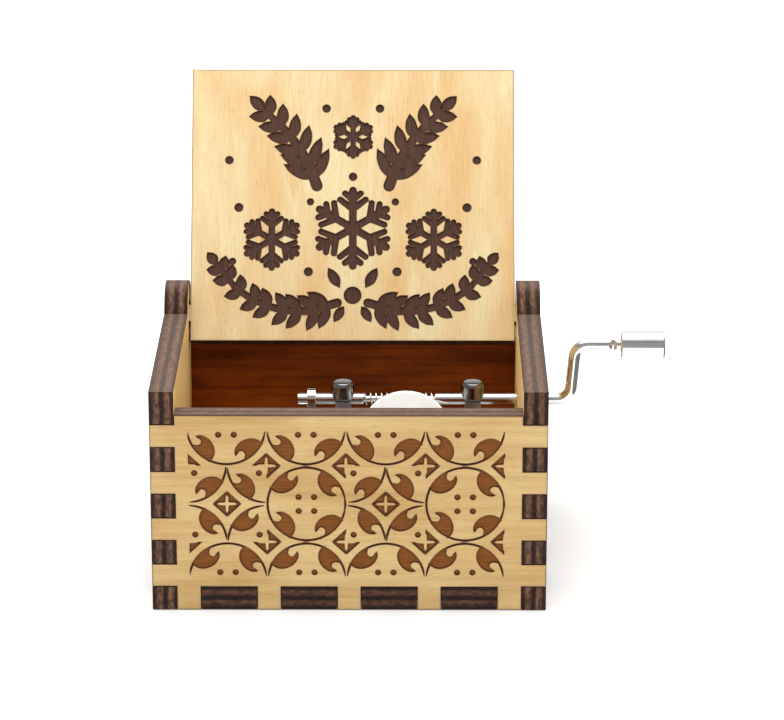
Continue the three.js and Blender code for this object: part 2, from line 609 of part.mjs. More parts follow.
function buildComb() {
  const comb = extrude(combOutline(), COMB_THICKNESS).translate(0, 0, COMB_BOTTOM);
  const holes = COMB_SCREW_YS.map((y) =>
    rod(SMALL_SHANK_RADIUS + HOLE_CLEARANCE, 4).translate(COMB_SCREW_X, y, COMB_BOTTOM - 1));
  place('tuned_comb', toGeometry(carved(toSolid(comb), holes)), steel());

  const riser = box(COMB_BACK_X, RISER_RIGHT_X, COMB_FRONT_Y, COMB_REAR_Y, BED_TOP, COMB_BOTTOM);
  const taps = COMB_SCREW_YS.map((y) =>
    rod(SMALL_SHANK_RADIUS + THREAD_CLEARANCE, 5).translate(COMB_SCREW_X, y, COMB_BOTTOM - 4));
  place('comb_riser', toGeometry(carved(toSolid(riser), taps)), brass());
}

// ---- Screws -------------------------------------------------------------------------
const SMALL_SHANK_RADIUS = 0.75;
const SMALL_HEAD_RADIUS = 1.5;
const SMALL_HEAD_HEIGHT = 1;
const SLOT_WIDTH = 0.4;
const SLOT_BOTTOM = 0.55;         // heights in a screw head, as shares of the head's height
const HEAD_RIM = 0.7;
const HEAD_TAPER = 0.8;           // the head's radius on top, as a share of the full one
const SCREW_TOP = 8.2;            // where the long screws end, inside the bedplate
const SCREW_HEAD_BOTTOM = 0.4;
const COMB_SCREW_X = -13.4;
const COMB_SCREW_YS = [-8.5, -2.5, 3.5];
const END_SCREW_XY = [-10.5, SHAFT_Y];
const FRONT_SCREW_XY = [CYLINDER_X, -17.3];
const FOOT_TOP = BED_TOP + FOOT_THICKNESS;
const COMB_TOP = COMB_BOTTOM + COMB_THICKNESS;
const TOP_SCREWS = [              // screws driven from above: the head rests at the height
  { name: 'comb_screw_front', at: [COMB_SCREW_X, COMB_SCREW_YS[0], COMB_TOP], reach: 3 },
  { name: 'comb_screw_middle', at: [COMB_SCREW_X, COMB_SCREW_YS[1], COMB_TOP], reach: 3 },
  { name: 'comb_screw_rear', at: [COMB_SCREW_X, COMB_SCREW_YS[2], COMB_TOP], reach: 3 },
  { name: 'end_bracket_screw', at: [...END_SCREW_XY, FOOT_TOP], reach: 2.8 },
  { name: 'front_bracket_screw', at: [...FRONT_SCREW_XY, FOOT_TOP], reach: 2.8 },
];

function slottedScrew(shankRadius, headRadius, headHeight, reach) {
  const screw = turned([
    [0, -reach], [shankRadius, -reach], [shankRadius, 0], [headRadius, 0],
    [headRadius, headHeight * HEAD_RIM], [headRadius * HEAD_TAPER, headHeight],
    [0, headHeight],
  ], 14);
  const slot = box(-headRadius - 1, headRadius + 1, -SLOT_WIDTH / 2, SLOT_WIDTH / 2,
    headHeight * SLOT_BOTTOM, headHeight + 1);
  return toGeometry(carved(toSolid(screw), [slot]));
}

function buildScrews() {
  for (const { name, at, reach } of TOP_SCREWS) {
    const screw = slottedScrew(SMALL_SHANK_RADIUS, SMALL_HEAD_RADIUS, SMALL_HEAD_HEIGHT, reach);
    place(name, screw.translate(...at), steel());
  }
  const names = ['left', 'right', 'rear'];
  SCREW_PLACES.forEach(([x, y], i) => {
    const headHeight = SCREW_RECESS - SCREW_HEAD_BOTTOM;
    const screw = slottedScrew(SCREW_SHANK_RADIUS, SCREW_HEAD_RADIUS, headHeight,
      SCREW_TOP - SCREW_RECESS);
    place(`case_screw_${names[i]}`, screw.rotateX(Math.PI).translate(x, y, SCREW_RECESS), steel());
  });
}

buildCase();
buildLid();
buildBedplate();
buildBearingCaps();
buildEndBracket();
buildFrontBracket();
buildComb();
buildCylinder();
buildWheel();
buildCrank();
buildScrews();

export default musicBox;
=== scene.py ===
# Looks of the hand-cranked music box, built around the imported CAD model.
# Every length is in metres, in the CAD frame: +X right, -Y front, +Z up.
import math
import json

import bmesh
import bpy
import numpy as np
from mathutils import Matrix, Vector
from mathutils.geometry import delaunay_2d_cdt
from mathutils.kdtree import KDTree


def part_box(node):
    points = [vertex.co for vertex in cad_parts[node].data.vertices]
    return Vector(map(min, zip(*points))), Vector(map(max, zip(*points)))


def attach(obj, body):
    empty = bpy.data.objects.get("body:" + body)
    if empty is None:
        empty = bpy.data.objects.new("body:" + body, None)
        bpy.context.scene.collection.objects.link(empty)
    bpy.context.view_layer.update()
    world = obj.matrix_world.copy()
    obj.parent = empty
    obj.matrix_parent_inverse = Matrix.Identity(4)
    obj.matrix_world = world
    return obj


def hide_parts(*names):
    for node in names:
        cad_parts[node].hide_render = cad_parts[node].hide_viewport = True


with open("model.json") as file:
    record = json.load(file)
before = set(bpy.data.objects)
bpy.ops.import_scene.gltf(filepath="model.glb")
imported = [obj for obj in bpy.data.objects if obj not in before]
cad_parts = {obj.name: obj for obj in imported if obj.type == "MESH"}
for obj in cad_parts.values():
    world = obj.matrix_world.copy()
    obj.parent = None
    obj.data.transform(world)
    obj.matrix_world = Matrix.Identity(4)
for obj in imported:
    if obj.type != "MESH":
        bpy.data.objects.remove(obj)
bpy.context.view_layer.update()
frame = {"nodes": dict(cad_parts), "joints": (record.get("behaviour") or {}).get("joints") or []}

MM = 0.001
JOINTS = {joint["name"]: joint for joint in frame["joints"]}
PIVOT = Vector(JOINTS["lid_hinge"]["pos_m"])
SHAFT = Vector(JOINTS["crank_turn"]["pos_m"])
KNOB_AXIS = Vector(JOINTS["knob_spin"]["pos_m"])
CYLINDER_AXIS = Vector(JOINTS["cylinder_spin"]["pos_m"])

BOTTOM_LOW, BOTTOM_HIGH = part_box("bottom_panel")
BACK_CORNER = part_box("back_panel")[1]
PLY = BOTTOM_HIGH.z - BOTTOM_LOW.z
INNER_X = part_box("front_panel")[1].x - PLY
INNER_Y = BACK_CORNER.y - PLY

# The same driving sizes as the CAD has, for what the node boxes don't tell.
EAR_RADIUS = BACK_CORNER.y - PIVOT.y
PIVOT_HOLE_RADIUS = 2.75 * MM
SHAFT_HOLE_RADIUS = 1.6 * MM
LID_REAR = 4.8 * MM
LID_OPEN = math.radians(117.4)


# ---- Node materials ----
PER_MM = 1000.0  # noise scale that makes a feature 1 mm across


class Nodes:
    """A short way to write a material's node tree."""

    def __init__(self, name):
        self.material = bpy.data.materials.new(name)
        self.material.use_nodes = True
        self.tree = self.material.node_tree
        self.shader = self.tree.nodes["Principled BSDF"]
        self.place = self.tree.nodes.new("ShaderNodeTexCoord").outputs["Object"]

    def node(self, kind, inputs=None, **settings):
        node = self.tree.nodes.new("ShaderNode" + kind)
        for key, value in settings.items():
            setattr(node, key, value)
        for key, value in (inputs or {}).items():
            self.feed(node.inputs[key], value)
        return node

    def feed(self, socket, value):
        if isinstance(value, bpy.types.NodeSocket):
            self.tree.links.new(value, socket)
        else:
            socket.default_value = value

    def noise(self, size, detail=4.0, offset=(0, 0, 0), distortion=0.0):
        """Noise with features of a size in mm: one number, or one along each axis."""
        sizes = size if hasattr(size, "__len__") else (size,) * 3
        mapping = {"Vector": self.place, "Location": offset, "Scale": [PER_MM / s for s in sizes]}
        place = self.node("Mapping", mapping).outputs["Vector"]
        inputs = {"Vector": place, "Scale": 1.0, "Detail": detail, "Distortion": distortion}
        return self.node("TexNoise", inputs).outputs["Fac"]

    def ramp(self, factor, stops):
        node = self.node("ValToRGB", {"Fac": factor})
        ramp = node.color_ramp
        while len(ramp.elements) < len(stops):
            ramp.elements.new(1.0)
        for element, (position, colour) in zip(ramp.elements, stops):
            element.position = position
            element.color = (*colour, 1) if hasattr(colour, "__len__") else (colour,) * 3 + (1,)
        return node.outputs["Color"]

    def mix(self, factor, a, b, blend="MIX"):
        node = self.node("Mix", data_type="RGBA", blend_type=blend)
        for socket, value in ((node.inputs[0], factor), (node.inputs[6], a), (node.inputs[7], b)):
            if hasattr(value, "__len__") and not isinstance(value, bpy.types.NodeSocket):
                value = (*value, 1)
            self.feed(socket, value)
        return node.outputs[2]

    def shade(self, amount, colour, factor, stops):
        """The colour multiplied by a ramp of a factor."""
        return self.mix(amount, colour, self.ramp(factor, stops), "MULTIPLY")

    def math(self, operation, a, b=0.0, clamp=False):
        return self.node("Math", {0: a, 1: b}, operation=operation, use_clamp=clamp).outputs[0]

    def nearness(self, attribute, reach):
        """1 where the attribute, a distance in mm, is 0, and 0 at its reach."""
        distance = self.node("Attribute", attribute_name=attribute).outputs["Fac"]
        return self.math("SUBTRACT", 1.0, self.math("DIVIDE", distance, reach))

    def upward(self, vector):
        return self.node("SeparateXYZ", {"Vector": vector}).outputs["Z"]

    def bump(self, height, strength, distance):
        node = self.node("Bump", {"Height": height, "Strength": strength, "Distance": distance})
        self.feed(self.shader.inputs["Normal"], node.outputs["Normal"])

    def set(self, **inputs):
        for key, value in inputs.items():
            socket = self.shader.inputs[key.replace("_", " ")]
            if socket.type == "RGBA" and not isinstance(value, bpy.types.NodeSocket):
                value = (*value, 1)
            self.feed(socket, value)


def linear(red, green, blue):
    """A display colour, 0 to 255, as the linear colour that a shader takes."""
    def channel(value):
        value /= 255
        return value / 12.92 if value <= 0.04045 else ((value + 0.055) / 1.055) ** 2.4
    return channel(red), channel(green), channel(blue)


WHITE = (1, 1, 1)
FAR = 9.0  # a distance in mm that no heat mark reaches
RIM_INSIDE = 0.20  # mm of scorched rim on an engraving's floor
RIM_OUTSIDE = 0.16  # mm of heat mark around it on the face
RIM_OUTLINE = 0.30  # mm of heat mark along a cut edge
SCORCH = linear(92, 50, 22)


def shift_of(seed):
    return seed, seed * 1.7, seed * 0.6


def wood_face(name, light, base, dark, grain, fleck=0.35, seed=0.0, gloss=0.55, streaks=0.4,
              shine=0.35):
    """A plywood face: soft clouds, long streaks, fine fibres, dark flecks and a burnt rim.

    grain is 0 where the fibres run along the piece's own X, and 1 along its Y."""
    n = Nodes(name)

    def along(length, width):
        return (width, length, 6) if grain else (length, width, 6)

    cloud = n.noise(along(22, 7), 3.0, shift_of(seed), 0.6)
    streak = n.noise(along(26, 0.9), 5.0, shift_of(seed), 0.3)
    fibre = n.noise(along(5, 0.16), 3.0, shift_of(seed))
    flecks = n.noise(along(1.6, 0.22), 2.0, shift_of(seed))
    colour = n.ramp(cloud, [(0.3, base), (0.68, light)])
    colour = n.shade(streaks, colour, streak, [(0.3, dark), (0.55, WHITE)])
    colour = n.shade(0.55, colour, fibre, [(0.28, (0.80, 0.76, 0.70)), (0.6, WHITE)])
    fleck_mask = n.ramp(flecks, [(0.60, 0.0), (0.72, fleck)])
    colour = n.mix(fleck_mask, colour, tuple(0.62 * v for v in base))
    from_edge = n.math("MULTIPLY", n.nearness("edge_mm", RIM_OUTLINE), 0.5)
    burn = n.math("MAXIMUM", n.nearness("cut_mm", RIM_OUTSIDE), from_edge, clamp=True)
    burnt = n.ramp(burn, [(0.0, 0.0), (0.5, 0.3), (1.0, 0.9)])
    n.set(Base_Color=n.mix(burnt, colour, SCORCH), Specular_IOR_Level=shine)
    n.set(Roughness=n.ramp(fibre, [(0.2, gloss + 0.12), (0.8, gloss - 0.05)]))
    n.bump(n.math("ADD", fibre, n.math("MULTIPLY", streak, 0.8)), 0.22, 0.06 * MM)
    return n.material


def charred_edge(name, seed=0.0, tint=(0.90, 0.82, 0.74), painted_top_light=0.36):
    """A laser-cut edge: dark char with two paler veneers, stacked along the piece's own Z.

    The last argument is how much paler the faces that look up are painted: painted light from above
    on the tops of the cut edges."""
    n = Nodes(name)
    shift = (seed, seed * 1.3, seed * 0.7)
    height = n.math("MULTIPLY", n.upward(n.place), 1 / PLY)
    wobble = n.math("SUBTRACT", n.noise(3, 3.0, shift), 0.5)
    height = n.math("ADD", height, n.math("MULTIPLY", wobble, 0.12))
    veneers = n.ramp(height, [
        (0.00, linear(66, 34, 26)), (0.09, linear(40, 20, 15)), (0.20, linear(117, 87, 66)),
        (0.33, linear(111, 83, 64)), (0.42, linear(48, 26, 21)), (0.54, linear(42, 22, 18)),
        (0.64, linear(115, 89, 70)), (0.78, linear(96, 71, 57)), (0.89, linear(44, 24, 19)),
        (1.00, linear(62, 34, 27)),
    ])
    soot = n.noise((1.1, 1.1, 0.5), 5.0, shift)
    pores = n.noise((0.22, 0.22, 0.14), 2.0, shift)
    colour = n.mix(1.0, veneers, tint, "MULTIPLY")
    colour = n.shade(0.9, colour, soot, [(0.36, (0.34, 0.3, 0.28)), (0.64, (1.25, 1.2, 1.15))])
    colour = n.shade(0.5, colour, pores, [(0.35, (0.5, 0.45, 0.42)), (0.6, WHITE)])
    # Painted light: the cut edges that look up are painted paler, for the light from above that
    # falls on them.
    facing_up = n.upward(n.node("NewGeometry").outputs["Normal"])
    painted_top_colour = n.mix(0.55, colour, linear(150, 132, 120))
    colour = n.mix(n.ramp(facing_up, [(0.86, 0.0), (0.98, painted_top_light)]), colour, painted_top_colour)
    n.set(Base_Color=colour, Roughness=n.ramp(pores, [(0.3, 0.85), (0.7, 0.62)]))
    n.set(Specular_IOR_Level=0.3)
    n.bump(n.math("ADD", pores, soot), 0.45, 0.08 * MM)
    return n.material


def engraved_floor(name, base, dark, grain):
    """The floor of an engraving: scorched wood, darkest along the walls."""
    n = Nodes(name)
    fibre = n.noise((0.25, 4, 1000) if grain else (4, 0.25, 1000))
    grit = n.noise(0.12, 2.0)
    colour = n.shade(1.0, base, fibre, [(0.3, (0.68, 0.64, 0.60)), (0.66, (1.16, 1.12, 1.08))])
    colour = n.shade(0.5, colour, grit, [(0.3, (0.7, 0.66, 0.62)), (0.65, WHITE)])
    rim = n.ramp(n.nearness("cut_mm", RIM_INSIDE), [(0.0, 0.0), (0.35, 0.2), (0.8, 1.0)])
    n.set(Base_Color=n.mix(rim, colour, dark), Roughness=0.78, Specular_IOR_Level=0.25)
    n.bump(n.math("ADD", fibre, grit), 0.35, 0.07 * MM)
    return n.material


def metal(name, base, roughness, scratch_mm, wear=0.08, bump=0.05):
    """Plated or ground metal: fine scratches, smudges in the gloss and a faint mottle."""
    n = Nodes(name)
    scratches = n.noise(scratch_mm)
    smudge = n.noise(2.2, 3.0)
    n.set(Base_Color=n.ramp(smudge, [(0.3, tuple(v * (1 - wear) for v in base)), (0.7, base)]))
    n.set(Metallic=1.0)
    spread = n.math("MULTIPLY", n.math("SUBTRACT", smudge, 0.5), roughness)
    rough = n.math("ADD", n.math("MULTIPLY", scratches, roughness * 0.6), roughness * 0.7)
    n.set(Roughness=n.math("ADD", rough, spread, clamp=True))
    n.bump(scratches, bump, 0.02 * MM)
    return n.material


def moulded_nylon(name):
    """White moulded plastic, with a faint painted glow: emission that brightens it, though it is no
    lamp.
    """
    n = Nodes(name)
    grain = n.noise(0.15, 2.0)
    tone = n.ramp(n.noise(1.5, 3.0), [(0.3, linear(250, 251, 248)), (0.7, linear(255, 255, 253))])
    n.set(Base_Color=tone, Roughness=n.ramp(grain, [(0.3, 0.5), (0.7, 0.36)]))
    n.set(Subsurface_Weight=0.15, Subsurface_Scale=0.0005, Subsurface_Radius=WHITE)
    # Painted light: a faint emission that makes the plastic glow, though it is no lamp.
    n.set(Emission_Color=(0.94, 1.0, 1.0), Emission_Strength=0.22)
    n.bump(grain, 0.12, 0.02 * MM)
    return n.material


PALE = dict(light=linear(199, 171, 118), base=linear(182, 147, 92), dark=(0.74, 0.62, 0.48))
FACE_ALONG_X = wood_face("ply_face_x", **PALE, grain=0)
FACE_ALONG_X_2 = wood_face("ply_face_x2", **PALE, grain=0, seed=0.13)
# Painted light: the side walls' inner faces are the pale ply painted paler still, to make up for
# the shade inside the box.
PAINTED_LIGHT_INSIDE_FACE = wood_face("ply_inside_painted_light", linear(252, 215, 142), linear(245, 202, 126),
                        (0.80, 0.68, 0.54), grain=0, seed=0.31)
LID_FACE = wood_face("lid_face", linear(208, 190, 147), linear(200, 164, 112), (0.90, 0.80, 0.70),
                     grain=1, fleck=0.4, seed=0.21, streaks=0.18)
# The dark red-brown of the back wall's stained inner face; the front's and the bottom's inner faces
# take it too, which darkens the inside and what the metal reflects of it.
DARK_INNER_FACE = wood_face("dark_inner_face", linear(146, 67, 9), linear(100, 41, 3),
                         (0.42, 0.32, 0.26), grain=0, fleck=0.5, seed=0.37, gloss=0.5,
                         streaks=0.7, shine=0.12)
CHAR = charred_edge("charred_edge")
CHAR_2 = charred_edge("charred_edge_2", 0.27)
CHAR_DARK = charred_edge("charred_edge_dark", 0.41, (0.56, 0.42, 0.38))
LEAF_BROWN = engraved_floor("engraved_brown", linear(120, 71, 25), linear(70, 34, 13), 0)
LID_BROWN = engraved_floor("engraved_dark", linear(76, 52, 42), linear(34, 20, 16), 1)
NICKEL = metal("bright_nickel", (0.90, 0.895, 0.88), 0.11, (0.9, 0.05, 0.05))
GROUND_STEEL = metal("ground_steel", (0.62, 0.62, 0.62), 0.30, (4, 0.06, 0.06), bump=0.12)
ZINC = metal("cast_zinc", (0.50, 0.50, 0.49), 0.48, (0.25, 0.25, 0.25), wear=0.2, bump=0.3)
BRASS = metal("turned_brass", (0.80, 0.60, 0.26), 0.24, (0.06, 0.06, 0.5), wear=0.16)
# Painted shade: the bearing caps' bright steel drums take a darkened nickel, for the shade inside
# the box that they reflect.
PAINTED_SHADE_NICKEL = metal("painted_shade_nickel", (0.27, 0.265, 0.26), 0.12, (0.9, 0.05, 0.05))
NYLON = moulded_nylon("white_nylon")


# ---- Flat outlines ----
# All in millimetres, in a panel's own plane, as N x 2 arrays.
def arc(x, y, radius, start, end, steps):
    """Points along an arc, angles in degrees."""
    angles = np.radians(np.linspace(start, end, steps + 1))
    return np.column_stack([x + radius * np.cos(angles), y + radius * np.sin(angles)])


def disc(x, y, radius, steps=20):
    return arc(x, y, radius, 0, 360, steps)[:-1]


def band(x, y, radius, start, end, width, steps):
    """A line of even width along an arc, with its ends drawn to a point."""
    half = np.full(steps + 1, width / 2)
    half[[0, -1]] = width * 0.12
    half[[1, -2]] = width * 0.38
    angles = np.radians(np.linspace(start, end, steps + 1))
    direction = np.column_stack([np.cos(angles), np.sin(angles)])
    outer = direction * (radius + half)[:, None]
    inner = direction * (radius - half)[:, None]
    return np.vstack([outer, inner[::-1]]) + (x, y)


def smooth(points, steps=5):
    """A Catmull-Rom curve through the points, as more points."""
    points = np.asarray(points, float)
    padded = np.vstack([2 * points[0] - points[1], points, 2 * points[-1] - points[-2]])
    t = (np.arange(steps) / steps)[:, None]
    rows = []
    for a, b, c, d in zip(padded, padded[1:], padded[2:], padded[3:]):
        rows.append(0.5 * (2 * b + (c - a) * t + (2 * a - 5 * b + 4 * c - d) * t ** 2
                           + (3 * b - a - 3 * c + d) * t ** 3))
    return np.vstack([*rows, points[-1:]])


def turn(points, degrees, centre):
    """The points turned about the origin, then moved to a centre."""
    c, s = math.cos(math.radians(degrees)), math.sin(math.radians(degrees))
    return np.asarray(points) @ np.array([[c, s], [-s, c]]) + centre


def heading_of(vector):
    """A direction in degrees."""
    return math.degrees(math.atan2(vector[1], vector[0]))


def signed_area(points):
    x, y = points[:, 0], points[:, 1]
    return 0.5 * np.sum(x * np.roll(y, -1) - y * np.roll(x, -1))


def anticlockwise(points):
    points = np.asarray(points, float)
    return points if signed_area(points) > 0 else points[::-1]


def inset(points, distance):
    """The outline moved inward by a distance, corner by corner."""
    before = points - np.roll(points, 1, axis=0)
    after = np.roll(points, -1, axis=0) - points
    normals = []
    for edge in (before, after):
        unit = edge / np.linalg.norm(edge, axis=1)[:, None]
        normals.append(np.column_stack([-unit[:, 1], unit[:, 0]]))
    middle = normals[0] + normals[1]
    reach = distance * 2 / np.sum(middle ** 2, axis=1)
    return points + middle * reach[:, None]


def contains(polygons, points):
    """Which of the points lie inside any of the polygons."""
    found = np.zeros(len(points), bool)
    for polygon in polygons:
        low, high = polygon.min(0), polygon.max(0)
        near = np.flatnonzero(np.all((points >= low) & (points <= high), axis=1) & ~found)
        if not len(near):
            continue
        x, y = points[near].T
        x0, y0 = polygon.T
        x1, y1 = np.roll(polygon, -1, axis=0).T
        spans = (y0[:, None] > y) != (y1[:, None] > y)
        rise = np.where(y1 == y0, 1e-12, y1 - y0)[:, None]
        crossing = x0[:, None] + (y - y0[:, None]) * (x1 - x0)[:, None] / rise
        odd = np.sum(spans & (x < crossing), axis=0) % 2 == 1
        found[near[odd]] = True
    return found


def triangulate(points, edges):
    """Constrained Delaunay triangles: points and triangles, as arrays."""
    vectors = [Vector(p) for p in points]
    result = delaunay_2d_cdt(vectors, [tuple(e) for e in edges], [], 0, 1e-5, False)
    flat = np.array([(v.x, v.y) for v in result[0]])
    triangles = np.array([face for face in result[2]], int)
    return flat, triangles


def loops_to_edges(loops):
    points, edges, start = [], [], 0
    for loop in loops:
        count = len(loop)
        points.extend(loop)
        edges.extend((start + i, start + (i + 1) % count) for i in range(count))
        start += count
    return points, edges


def centroids(points, triangles):
    return points[triangles].mean(axis=1)


SAMPLE_STEP = 0.05  # mm between the samples that distances are measured to


def distance_tree(points, edges):
    """A search tree of samples along the edges."""
    samples = []
    for a, b in edges:
        count = int(np.linalg.norm(points[b] - points[a]) / SAMPLE_STEP) + 1
        t = (np.arange(count) / count)[:, None]
        samples.append(points[a] * (1 - t) + points[b] * t)
    samples = np.vstack(samples)
    tree = KDTree(len(samples))
    for i, (x, y) in enumerate(samples):
        tree.insert((x, y, 0), i)
    tree.balance()
    return tree


def tree_distance(tree, points):
    """Each point's distance to the nearest sample."""
    return np.array([tree.find((x, y, 0))[2] for x, y in points])


CLEARANCE = 0.8  # share of an offset that must really be free
LOOSE_CLEARANCE = 0.95  # the same for a loose point
SHARP_SUM = 1.2  # two unit normals add up to less at a sharp corner
STRAIGHT_SUM = 1.9  # and to more where the border runs almost straight
MITRE_LIMIT = 1.4


def offset_edges(points, edges, distance, tree):
    """The border moved sideways by a distance, where nothing else of it is nearer.

    Gives the moved points, their edges, and loose points that surround sharp corners."""
    normal_sum = {}
    for a, b in edges:
        d = points[b] - points[a]
        d = d / max(np.linalg.norm(d), 1e-9)
        for v in (a, b):
            normal_sum.setdefault(v, []).append((-d[1], d[0]))
    moved, loose = {}, [np.zeros((0, 2))]
    for v, normals in normal_sum.items():
        total = np.sum(normals, axis=0)
        size = np.linalg.norm(total)
        if len(normals) == 2 and size > SHARP_SUM:
            moved[v] = points[v] + total / size * distance * min(2 / size, MITRE_LIMIT)
        if len(normals) != 2 or size < STRAIGHT_SUM:
            loose.append(disc(*points[v], abs(distance), 12))
    keys = list(moved)
    places = np.array([moved[k] for k in keys])
    clear = tree_distance(tree, places) > abs(distance) * CLEARANCE
    number = {k: i for i, (k, ok) in enumerate(zip(keys, clear)) if ok}
    loose = np.vstack(loose)
    if len(loose):
        loose = loose[tree_distance(tree, loose) > abs(distance) * LOOSE_CLEARANCE]
    lines = [(number[a], number[b]) for a, b in edges if a in number and b in number]
    return places, lines, loose


GRID = 0.6  # mm between the free points inside a face


def free_grid(ring, trees):
    """An even grid of points inside a ring, away from every line."""
    low, high = ring.min(0), ring.max(0)
    columns = np.arange(low[0] + GRID / 2, high[0], GRID)
    rows = np.arange(low[1] + GRID / 2, high[1], GRID)
    points = np.array([(x, y) for x in columns for y in rows])
    for tree in trees:
        points = points[tree_distance(tree, points) > GRID / 2]
    return points


def rim_of(triangles, chosen):
    """The directed edges between chosen triangles and everything else."""
    owner = {}
    for index, (a, b, c) in enumerate(triangles):
        for edge in ((a, b), (b, c), (c, a)):
            owner[edge] = index
    edges = []
    for (a, b), index in owner.items():
        other = owner.get((b, a))
        if chosen[index] and (other is None or not chosen[other]):
            edges.append((a, b))
    return edges


def engraving(polygons, bare):
    """The polygons' union as points and rim edges, with its distance tree."""
    flat, triangles = triangulate(*loops_to_edges([*polygons, *bare]))
    middles = centroids(flat, triangles)
    cut = contains(polygons, middles) & ~contains(bare, middles)
    rim = rim_of(triangles, cut)
    return flat, rim, distance_tree(flat, rim)


def add_lines(points, edges, places, lines):
    """Appends the places that the lines use, and the lines, to points and edges."""
    used = sorted({v for line in lines for v in line})
    number = {v: len(points) + i for i, v in enumerate(used)}
    points += [places[v] for v in used]
    edges += [(number[a], number[b]) for a, b in lines]


def add_object(name, data):
    piece = bpy.data.objects.new(name, data)
    bpy.context.scene.collection.objects.link(piece)
    return piece


class Surface:
    """Collects a mesh's vertices, faces, material slots and distances to cuts, in mm."""

    def __init__(self):
        self.points, self.faces, self.slots = [], [], []
        self.distances = {"cut_mm": [], "edge_mm": []}

    def add(self, points, faces, slot, **distances):
        start = len(self.points)
        self.points += [tuple(p) for p in points]
        for key, values in self.distances.items():
            values += list(distances.get(key, [FAR] * len(points)))
        self.faces += [tuple(int(v) + start for v in face) for face in faces]
        self.slots += [slot] * len(faces)

    def build(self, name, materials, matrix, sharp=35):
        mesh = bpy.data.meshes.new(name)
        mesh.from_pydata([tuple(v * MM for v in p) for p in self.points], [], self.faces)
        for material in materials:
            mesh.materials.append(material)
        mesh.polygons.foreach_set("material_index", self.slots)
        for key, values in self.distances.items():
            mesh.attributes.new(key, "FLOAT", "POINT").data.foreach_set("value", values)
        mesh.polygons.foreach_set("use_smooth", [True] * len(self.faces))
        mesh.set_sharp_from_angle(angle=math.radians(sharp))
        piece = add_object(name, mesh)
        piece.matrix_world = matrix
        return piece


def tube_quads(rows, sides, flip=False):
    """The quads between rows of points, each row being one turn of a closed section."""
    quads = []
    for start in range(0, (rows - 1) * sides, sides):
        for i in range(sides):
            j = (i + 1) % sides
            quad = (start + i, start + j, start + sides + j, start + sides + i)
            quads.append(quad[::-1] if flip else quad)
    return quads


def lifted(points, height):
    """Flat points as rows of x, y, z at a height."""
    return np.column_stack([points, np.full(len(points), height)])


def flat_face(surface, rings, polygons, bare, level, depth, up, slots):
    """One face of a board with its engraving, at a level, facing up or down."""
    points, edges = loops_to_edges(rings)
    outline_tree = distance_tree(np.array(points), edges)
    for index, ring in enumerate(rings):
        inner = inset(ring, RIM_OUTLINE if index == 0 else -RIM_OUTLINE)
        add_lines(points, edges, *loops_to_edges([inner]))
    cut_tree = None
    if polygons:
        drawn, rim, cut_tree = engraving(polygons, bare)
        add_lines(points, edges, drawn, rim)
        for distance in (RIM_INSIDE, -RIM_OUTSIDE):
            places, lines, loose = offset_edges(drawn, rim, distance, cut_tree)
            add_lines(points, edges, places, lines)
            points += list(loose)
        points += list(free_grid(rings[0], (outline_tree, cut_tree)))
    flat, triangles = triangulate(points, edges)
    middles = centroids(flat, triangles)
    kept = contains([rings[0]], middles) & ~contains(rings[1:], middles)
    triangles, middles = triangles[kept], middles[kept]
    cut = contains(polygons, middles) & ~contains(bare, middles)
    if not up:
        triangles = triangles[:, ::-1]
    edge_mm = tree_distance(outline_tree, flat)
    cut_mm = tree_distance(cut_tree, flat) if cut_tree else np.full(len(flat), FAR)
    surface.add(lifted(flat, level), triangles[~cut], slots[0], cut_mm=cut_mm, edge_mm=edge_mm)
    if not cut_tree:
        return
    floor = level - depth if up else level + depth
    surface.add(lifted(flat, floor), triangles[cut], slots[1], cut_mm=cut_mm)
    walls = np.vstack([lifted(flat, level), lifted(flat, floor)])
    count = len(flat)
    quads = [(b, a, a + count, b + count) for a, b in rim_of(triangles, cut)]
    surface.add(walls, quads, slots[1], cut_mm=np.zeros(len(walls)))


CHAMFER = 0.09  # mm of rounding on a cut edge


def cut_edge(surface, ring, thickness, hole, slot):
    """The wall of a cut edge with both of its corners eased."""
    eased = inset(ring, -CHAMFER if hole else CHAMFER)
    rows = [lifted(eased, 0), lifted(ring, CHAMFER), lifted(ring, thickness - CHAMFER),
            lifted(eased, thickness)]
    surface.add(np.vstack(rows), tube_quads(len(rows), len(ring), flip=hole), slot)


ON_LEVEL = 0.02  # mm by which a corner may miss its level


def node_rings(node, matrix, level):
    """A flat CAD node's outline and holes at a level of its own frame, in mm."""
    mesh = frame["nodes"][node].data
    inverse = matrix.inverted()
    places = [inverse @ v.co / MM for v in mesh.vertices]
    edges = {}  # its keys are an ordered set
    for polygon in mesh.polygons:
        corners = [places[v] for v in polygon.vertices]
        if any(abs(corner.z - level) > ON_LEVEL for corner in corners):
            continue
        keys = [(round(c.x, 3), round(c.y, 3)) for c in corners]
        if level < PLY / MM / 2:
            keys.reverse()
        for a, b in zip(keys, keys[1:] + keys[:1]):
            if (b, a) in edges:
                del edges[(b, a)]
            else:
                edges[(a, b)] = None
    follow = {a: b for a, b in edges}
    loops = []
    while follow:
        start, current = follow.popitem()
        loop = [start]
        while current != start:
            loop.append(current)
            current = follow.pop(current)
        loops.append(straightened(np.array(loop)))
    loops.sort(key=lambda loop: -abs(signed_area(loop)))
    return [anticlockwise(loop) for loop in loops]


def straightened(loop):
    """The loop without the points that lie on a straight line."""
    before = loop - np.roll(loop, 1, axis=0)
    after = np.roll(loop, -1, axis=0) - loop
    bend = before[:, 0] * after[:, 1] - before[:, 1] * after[:, 0]
    return loop[np.abs(bend) > 1e-3]


ARC_STEP = 4  # degrees between the points of a finer arc
ON_CIRCLE = 0.03  # mm by which a corner may miss its circle


